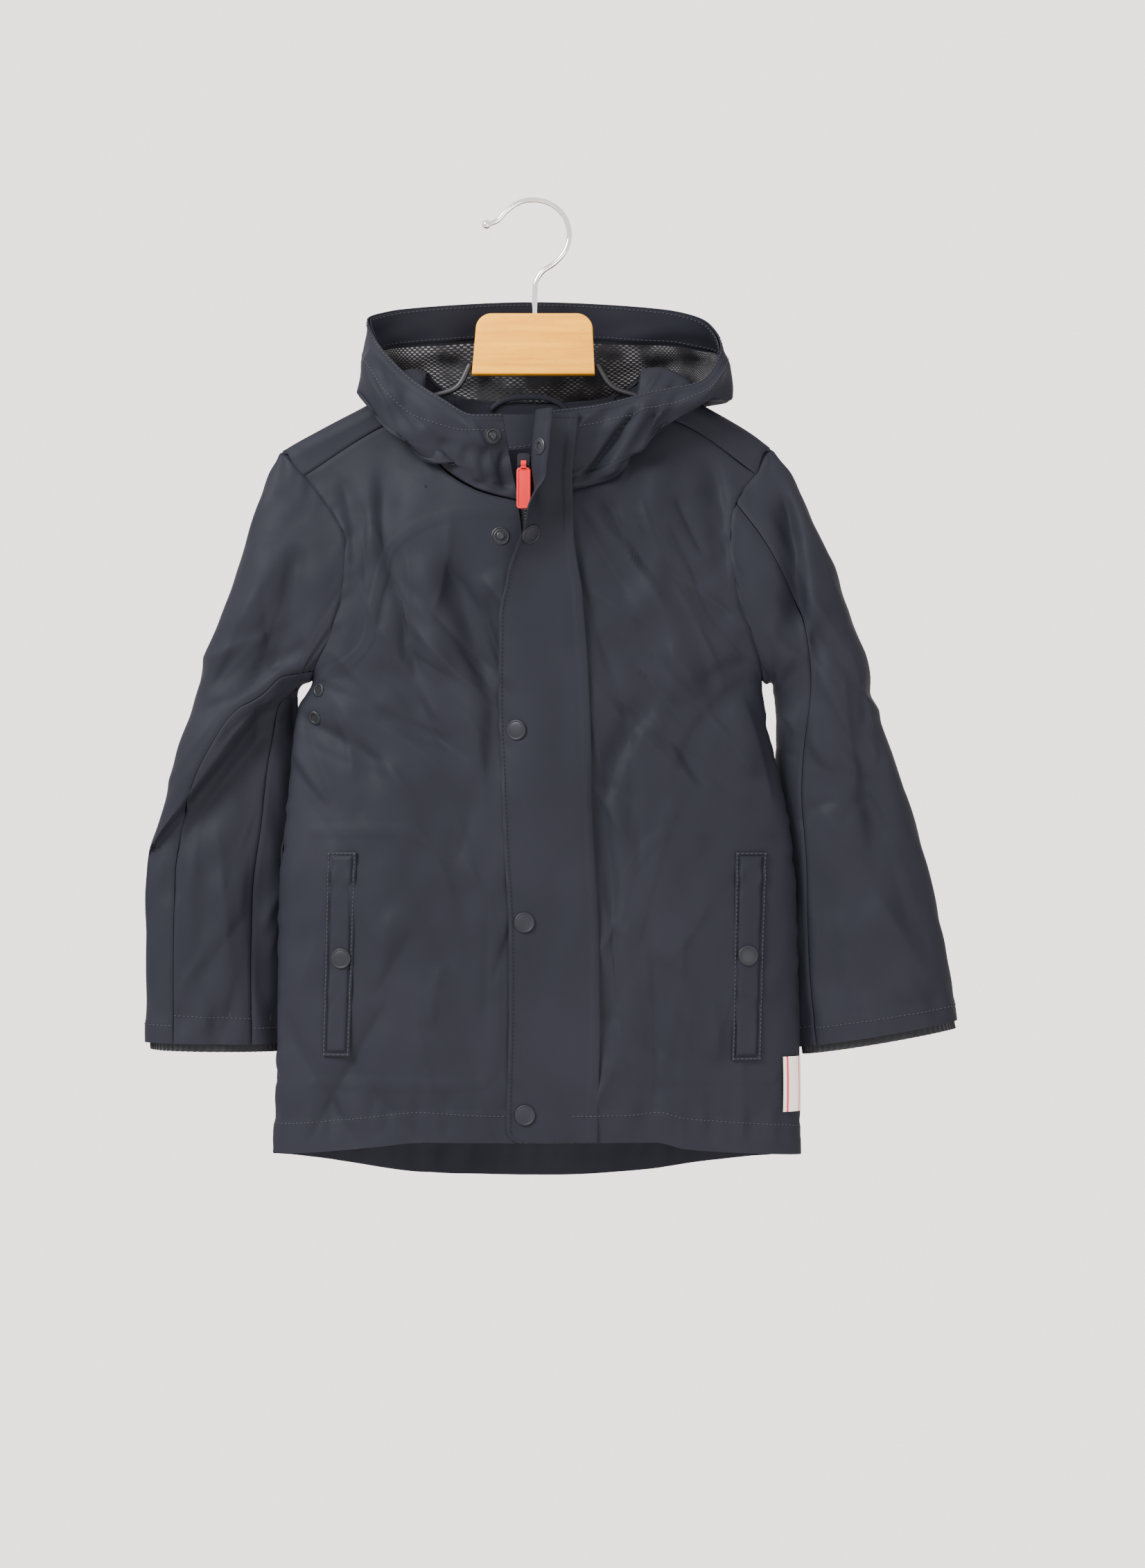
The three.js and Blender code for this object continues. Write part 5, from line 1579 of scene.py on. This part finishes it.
def column_at(cut, way, shares, from_end=True):
    """A row that keeps way millimetres from the piece's starting or ending side."""
    across = 1 - way / cut.width if from_end else way / cut.width
    return cut.on(np.full(shares.shape, across), shares)


down_flap = np.linspace(0.006, 0.985, 400)
stitched("flap_stitches", [
    column_at(flap, FLAP_STITCHES, down_flap),
    row_at(flap, FLAP_STITCHES, np.linspace(0.03, 0.93, 60)),
    flap.on(np.linspace(0.02, 0.98, 60), np.full(60, 0.006)),
], flap_thread)

# Pocket welts. A folded strip of shell cloth stands over each pocket's opening, stitched down all
# round, with a snap at its middle.

WELT_LIFT = 1.9
WELT_STITCHES = 1.2
WELT_GROOVE = 2.7
welt_corners = {
    "right": ((-148, -127), (-151.5, -132), (-468, -614)),
    "left": ((144, 166.5), (141, 162), (-468, -617)),
}
pocket_snaps = {"right": (-138, -544), "left": (152.5, -542)}
welts = {}
for wearer, (top, bottom, levels) in welt_corners.items():
    def welt_at(u, v, top=top, bottom=bottom, levels=levels):
        z = mix(*levels, v)
        x = mix(mix(*top, u), mix(*bottom, u), v)
        return body_at(angle_at(x, z), z, -1, WELT_LIFT)

    def welt_relief(points, ways, u, v, wearer=wearer):
        x, z = points[..., 0], points[..., 2]
        edge = np.minimum(np.minimum(ways["start"], ways["end"]), np.minimum(ways["top"], ways["foot"]))
        groove = 1.1 * np.exp(-(((edge - WELT_GROOVE) / 0.7) ** 2))
        pillow = 0.7 * smooth((edge - 2.8) / 3) - groove
        waves = gathers(edge - 2.4, z, 0.3, 4, 81)
        return pillow + waves + pressed(x, z, [pocket_snaps[wearer]], 0.9, 9)

    welt = Cut(f"welt_{wearer}", welt_at, (spread(38), spread(180)), -1, shell,
               relief=welt_relief, rolled=("start", "end", "top", "foot"), roll=(1.2, 0.6))
    welt.hang(f"welt_{wearer}", "shell", [f"front_{wearer}"], held="stretched")
    tall = np.linspace(0.01, 0.99, 110)
    wide = np.linspace(0.06, 0.94, 14)
    stitched(f"welt_{wearer}_stitches", [
        column_at(welt, WELT_STITCHES, tall), column_at(welt, WELT_STITCHES, tall, from_end=False),
        row_at(welt, WELT_STITCHES, wide), row_at(welt, welt.length - WELT_STITCHES, wide),
    ])
    welts[wearer] = welt

# Snaps and eyelets. Painted metal snap caps close the flap and the pockets, with the open studs
# and the socket that belong to the two upper ones, and two eyelets air the armpit. Each is
# pressed through the cloth and sits on it.

cap_paint = moulded("navy cap paint", (0.0092, 0.0106, 0.0146, 1), 0.42, 0.2)
# The near-black disc in each eyelet is painted shade: the cloth under it is not cut, and the disc stands
# for the dark seen through the hole.
painted_hole_shade = moulded("painted shade in a hole", (0.004, 0.004, 0.005, 1), 0.9)
SNAP_SIDES = 48
snap_profiles = {
    "cap": [(0, 0), (6.9, 0), (7.35, 0.25), (7.5, 0.7), (7.42, 1.25), (7.1, 1.65), (6.6, 1.85),
            (6.2, 1.8), (5.95, 1.55), (5.75, 1.5), (5.5, 1.6), (4, 1.85), (2, 1.98), (0, 2.0)],
    "stud": [(0, 0), (6.3, 0), (6.5, 0.3), (6.3, 0.8), (5.9, 1), (5.5, 0.8), (5.3, 0.5), (4.6, 0.5),
             (4.3, 0.8), (3.9, 0.9), (3.4, 0.7), (3.2, 0.45), (2.6, 0.45), (2.2, 0.9), (2.2, 2),
             (2.55, 2.5), (2.5, 3), (1.9, 3.3), (1, 3.15), (0, 3.1)],
    "socket": [(0, 0), (5.8, 0), (6.1, 0.4), (6, 1), (5.4, 1.4), (4.8, 1.3), (4.4, 1.5), (3.4, 1.7),
               (2.8, 1.6), (2.5, 1.2), (2.4, 0.6), (0, 0.6)],
    "eyelet": [(2.8, 0), (5.1, 0), (5.25, 0.25), (5.1, 0.6), (4.5, 1), (3.9, 1.1), (3.2, 0.95),
               (2.85, 0.6), (2.8, 0)],
    "hole_shade": [(0, 0), (2.9, 0), (2.9, 0.2), (0, 0.2)],
}


def pressed_on(node, profile, spot, normal, paint, slot, name=None):
    """A turned piece that stands on spot, along the cloth's normal there."""
    points, faces = lathed(snap_profiles[profile], SNAP_SIDES)
    turn = Vector((0, 0, 1)).rotation_difference(Vector(normal)).to_matrix()
    placed = points @ np.array(turn).T + spot
    piece = plain_mesh(name or f"{node}_metal", placed, faces, material=paint, sharp=38)
    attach(piece, "coat")
    if node:
        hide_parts(node)


for number, place in enumerate(flap_snaps, 3):
    pressed_on(f"snap_flap_{number}", "cap", *flap.under(place), cap_paint, "cap")
for wearer, place in pocket_snaps.items():
    pressed_on(f"snap_pocket_{wearer}", "cap", *welts[wearer].under(place), cap_paint, "cap")
# Each row: the node, its profile, its share across and down the flap, and whether it is outside.
curled_snaps = [
    ("snap_flap_1", "cap", 0.84, 0.045, True), ("snap_flap_2", "cap", 0.8, 0.15, True),
    ("snap_socket", "socket", 0.84, 0.045, False),
]
for node, profile, u, v, outside in curled_snaps:
    spot, slope = flap.on(np.array(u), np.array(v), -0.1 if outside else 0.1 - FLAP_CLOTH)
    slope = slope if outside else -slope
    pressed_on(node, profile, spot - 0.2 * slope, slope, cap_paint if outside else dark_paint,
               "cap" if outside else "nickel")
studs = {"stud_collar": (hood["right"], (-29.5, -172)), "stud_front": (fronts["right"], (-24, -243))}
for node, (cut, place) in studs.items():
    pressed_on(node, "stud", *cut.under(place), dark_paint, "nickel")
eyelet_places = [(-155, -352), (-158, -372)]
for number, place in enumerate(eyelet_places, 1):
    spot, slope = fronts["right"].under(place)
    pressed_on(f"eyelet_{number}", "eyelet", spot, slope, eyelet_paint, "nickel")
    # A near-black disc of painted shade fills the eyelet's hole.
    pressed_on(None, "hole_shade", spot + 0.15 * slope, slope, painted_hole_shade, "nickel", f"eyelet_{number}_hole")

# Side label. A plain off-white woven tab with two thin red stripes, folded into the side seam of
# the wearer's left front above the hem.


def woven_label():
    material, shader, _, cut = finish_of("off-white woven label", Roughness=0.8)
    across = cut.of("ShaderNodeSeparateXYZ", Vector=cut)
    high, low = 0.0156, 0.0004
    near, far, blur = 0.0012, 0.003, 0.0004
    stripe = (across.between(low + near, low + near + blur)
              * (1 - across.between(low + far - blur, low + far)))
    other = (across.between(high - far, high - far + blur)
             * (1 - across.between(high - near - blur, high - near)))
    weave = noise(cut, 2600, 1)
    cloth_tone = weave.blend((0.60, 0.58, 0.53, 1), (0.74, 0.72, 0.67, 1))
    feed(shader, Base_Color=(stripe + other).blend(cloth_tone, (0.56, 0.02, 0.03, 1)),
         Normal=bumped(weave, 0.35, 0.0003))
    return material


LABEL_TOP, LABEL_FOOT = -615, -654.5
LABEL_EDGE = 178.5
LABEL_SEAM = math.pi / 2 - 0.02
LABEL_LIFT = 2.3


def label_at(u, v):
    z = mix(LABEL_TOP, LABEL_FOOT, v)
    return body_at(mix(angle_at(LABEL_EDGE, z), LABEL_SEAM, u), z, -1, LABEL_LIFT)


def label_bow(points, ways, u, v):
    return 0.5 * np.sin(math.pi * v) * smooth(1.4 - u)


side_label = Cut("side_label", label_at, (spread(26), spread(40)), -1, woven_label(), thickness=0.8,
                 relief=label_bow, rolled=("top", "foot"), roll=(0.8, 0.4))
side_label.hang("side_label", "label", ["front_left"], held="stretched")

# Hanger. A flat beech head with rounded shoulders holds a chromed hook with a ball at its end
# and two plain wire arms that run down inside the shoulders.


def beech():
    material, shader, spot, _ = finish_of("waxed beech", Specular_IOR_Level=0.2, Coat_Weight=0.06,
                                          Coat_Roughness=0.3)
    drawn = spot.of("ShaderNodeMapping", _0=spot, Scale=(9, 60, 150))
    rings = noise(drawn, 1.6, 4)
    ray = spot.of("ShaderNodeMapping", _0=spot, Scale=(160, 300, 900))
    flecks = noise(ray, 1.0, 2).between(0.6, 0.75)
    warm = rings.between(0.3, 0.7).blend((0.66, 0.27, 0.008, 1), (0.82, 0.37, 0.012, 1))
    tone = (0.5 * flecks).blend(warm, (0.50, 0.18, 0.005, 1))
    feed(shader, Base_Color=tone, Roughness=0.42 + 0.12 * rings, Normal=bumped(rings, 0.08, 0.0003))
    return material


PLATE_CORNER = 11.5
CORNER_LEVEL = -92
CORNER_RIGHT, CORNER_LEFT = -31, 30.2


def plate_outline():
    low = [(-45.3, -124.4), (43.2, -124.4)]
    turns = np.linspace(0, math.pi / 2, 12)
    left = [(CORNER_LEFT + PLATE_CORNER * math.cos(t), CORNER_LEVEL + PLATE_CORNER * math.sin(t))
            for t in turns]
    right = [(CORNER_RIGHT - PLATE_CORNER * math.sin(t), CORNER_LEVEL + PLATE_CORNER * math.cos(t))
             for t in turns]
    return np.array(low + left + right)


plate = plain_mesh("hanger_plate_beech", *layered(plate_outline(), [
    (1.2, -6), (0.55, -5.8), (0.15, -5.4), (0, -4.8),
]), material=beech(), sharp=30)
stands_for(plate, "hanger_plate")


def bent_wire(points, steps):
    """A centripetal path through the points of a bent wire, which lies in one plane."""
    points = np.asarray(points, float)
    ends = np.concatenate([[2 * points[0] - points[1]], points, [2 * points[-1] - points[-2]]])
    path = []
    for k in range(1, len(ends) - 2):
        strides = np.linalg.norm(np.diff(ends[k - 1:k + 3], axis=0), axis=1)
        knots = np.concatenate([[0], np.cumsum(strides**0.5)])
        for t in np.linspace(knots[1], knots[2], steps, endpoint=False):
            level = ends[k - 1:k + 3]
            for spans in (((0, 1), (1, 2), (2, 3)), ((0, 2), (1, 3)), ((1, 2),)):
                level = [mix(level[i], level[i + 1], (t - knots[a]) / (knots[b] - knots[a]))
                         for i, (a, b) in enumerate(spans)]
            path.append(level[0])
    return np.array(path + [points[-1]])


def wire_mesh(path, radius, sides=20):
    tangent = np.gradient(path, axis=0)
    tangent /= np.linalg.norm(tangent, axis=1, keepdims=True)
    points = []
    rings = [(path[0], tangent[0], 0.5)] + [(p, t, 1) for p, t in zip(path, tangent)]
    rings += [(path[-1], tangent[-1], 0.5)]
    for spot, (tx, tz), size in rings:
        for turn in 2 * math.pi * np.arange(sides) / sides:
            out = size * radius * math.cos(turn)
            points.append((spot[0] - tz * out, size * radius * math.sin(turn), spot[1] + tx * out))
    return np.array(points), closed_tube(len(rings), sides)


chrome = metal("polished chrome", (0.80, 0.80, 0.82, 1), 0.08, 0.05)
WIRE = 1.9
hook_route = [
    (-34.8, -15.9), (-27, -13), (-20.7, -6.4), (-11, 0.2), (0, WIRE), (12.4, -1.5), (21.6, -10.6),
    (24.9, -23), (21.6, -35.4), (14, -43.8), (5.4, -49.8), (0.9, -57), (0, -66), (0, -80),
]
turns = np.linspace(-math.pi / 2, math.pi / 2, 17)
ball, ball_faces = lathed([(round(3.3 * math.cos(t), 6), 3.3 * math.sin(t)) for t in turns], 28)
hook_path = bent_wire(hook_route, 7)
hook = plain_mesh("hanger_hook_chrome", *together([
    wire_mesh(hook_path, WIRE), (ball + [-34.8, 0, -15.9], ball_faces),
]), material=chrome)
stands_for(hook, "hanger_hook")
ARM_WIRE = 2.2
arm_start = {"right": (-46.7, -117), "left": (44.7, -117)}
for wearer, sign in sign_of.items():
    arm_route = [arm_start[wearer], (sign * 56, -133), (sign * 72, -139), (sign * 98, -142.4),
                 (sign * 164, -178)]
    arm = plain_mesh(f"hanger_arm_{wearer}_wire", *wire_mesh(bent_wire(arm_route, 10), ARM_WIRE),
                     material=dull_steel)
    stands_for(arm, f"hanger_arm_{wearer}")

# Stage. A pale floor well below the coat, a pale surround, soft light from the upper left and
# a camera straight in front.

VIEW_HEIGHT = 1.1315
VIEW_DISTANCE = 2.5
VIEW_MIDDLE = (0.0272, -0.4195)
LONG_SIDE = 36.0
FLOOR_LEVEL = -1.3
SURROUND = 2.3

floor_mesh = bpy.data.meshes.new("floor")
floor_corners = [(-1.6, -1.8), (1.6, -1.8), (1.6, 1.2), (-1.6, 1.2)]
floor_mesh.from_pydata([(x, y, FLOOR_LEVEL) for x, y in floor_corners], [], [(0, 1, 2, 3)])
floor = bpy.data.objects.new("floor", floor_mesh)
bpy.context.scene.collection.objects.link(floor)
floor_paint, _, _, _ = finish_of("pale floor paint", Base_Color=(0.74, 0.70, 0.69, 1), Roughness=0.8)
floor_mesh.materials.append(floor_paint)

world = bpy.data.worlds.new("pale room")
world.use_nodes = True
surround = world.node_tree.nodes["Background"]
surround.inputs["Color"].default_value = (0.80, 0.735, 0.72, 1)
seen = Tone(world.node_tree, world.node_tree.nodes.new("ShaderNodeLightPath").outputs["Is Camera Ray"])
feed(surround, Strength=seen + SURROUND)
bpy.context.scene.world = world


def lamp(name, place, aim, width, height, power):
    light = bpy.data.lights.new(name, "AREA")
    light.shape, light.size, light.size_y, light.energy = "RECTANGLE", width, height, power
    lamp_object = bpy.data.objects.new(name, light)
    lamp_object.location = place
    lamp_object.rotation_euler = (Vector(aim) - Vector(place)).to_track_quat("-Z", "Y").to_euler()
    bpy.context.scene.collection.objects.link(lamp_object)


lamp("window light", (-1.7, -1.6, 1.3), (0.0, 0.0, -0.4), 1.2, 1.2, 190)
lamp("fill light", (1.3, -2.3, -1.0), (0.0, 0.0, -0.5), 1.6, 1.0, 42)

lens = bpy.data.cameras.new("camera")
lens.sensor_width = LONG_SIDE
lens.lens = LONG_SIDE * VIEW_DISTANCE / VIEW_HEIGHT
camera = bpy.data.objects.new("camera", lens)
camera.location = (VIEW_MIDDLE[0], -VIEW_DISTANCE, VIEW_MIDDLE[1])
camera.rotation_euler = (math.pi / 2, 0, 0)
bpy.context.scene.collection.objects.link(camera)
bpy.context.scene.camera = camera
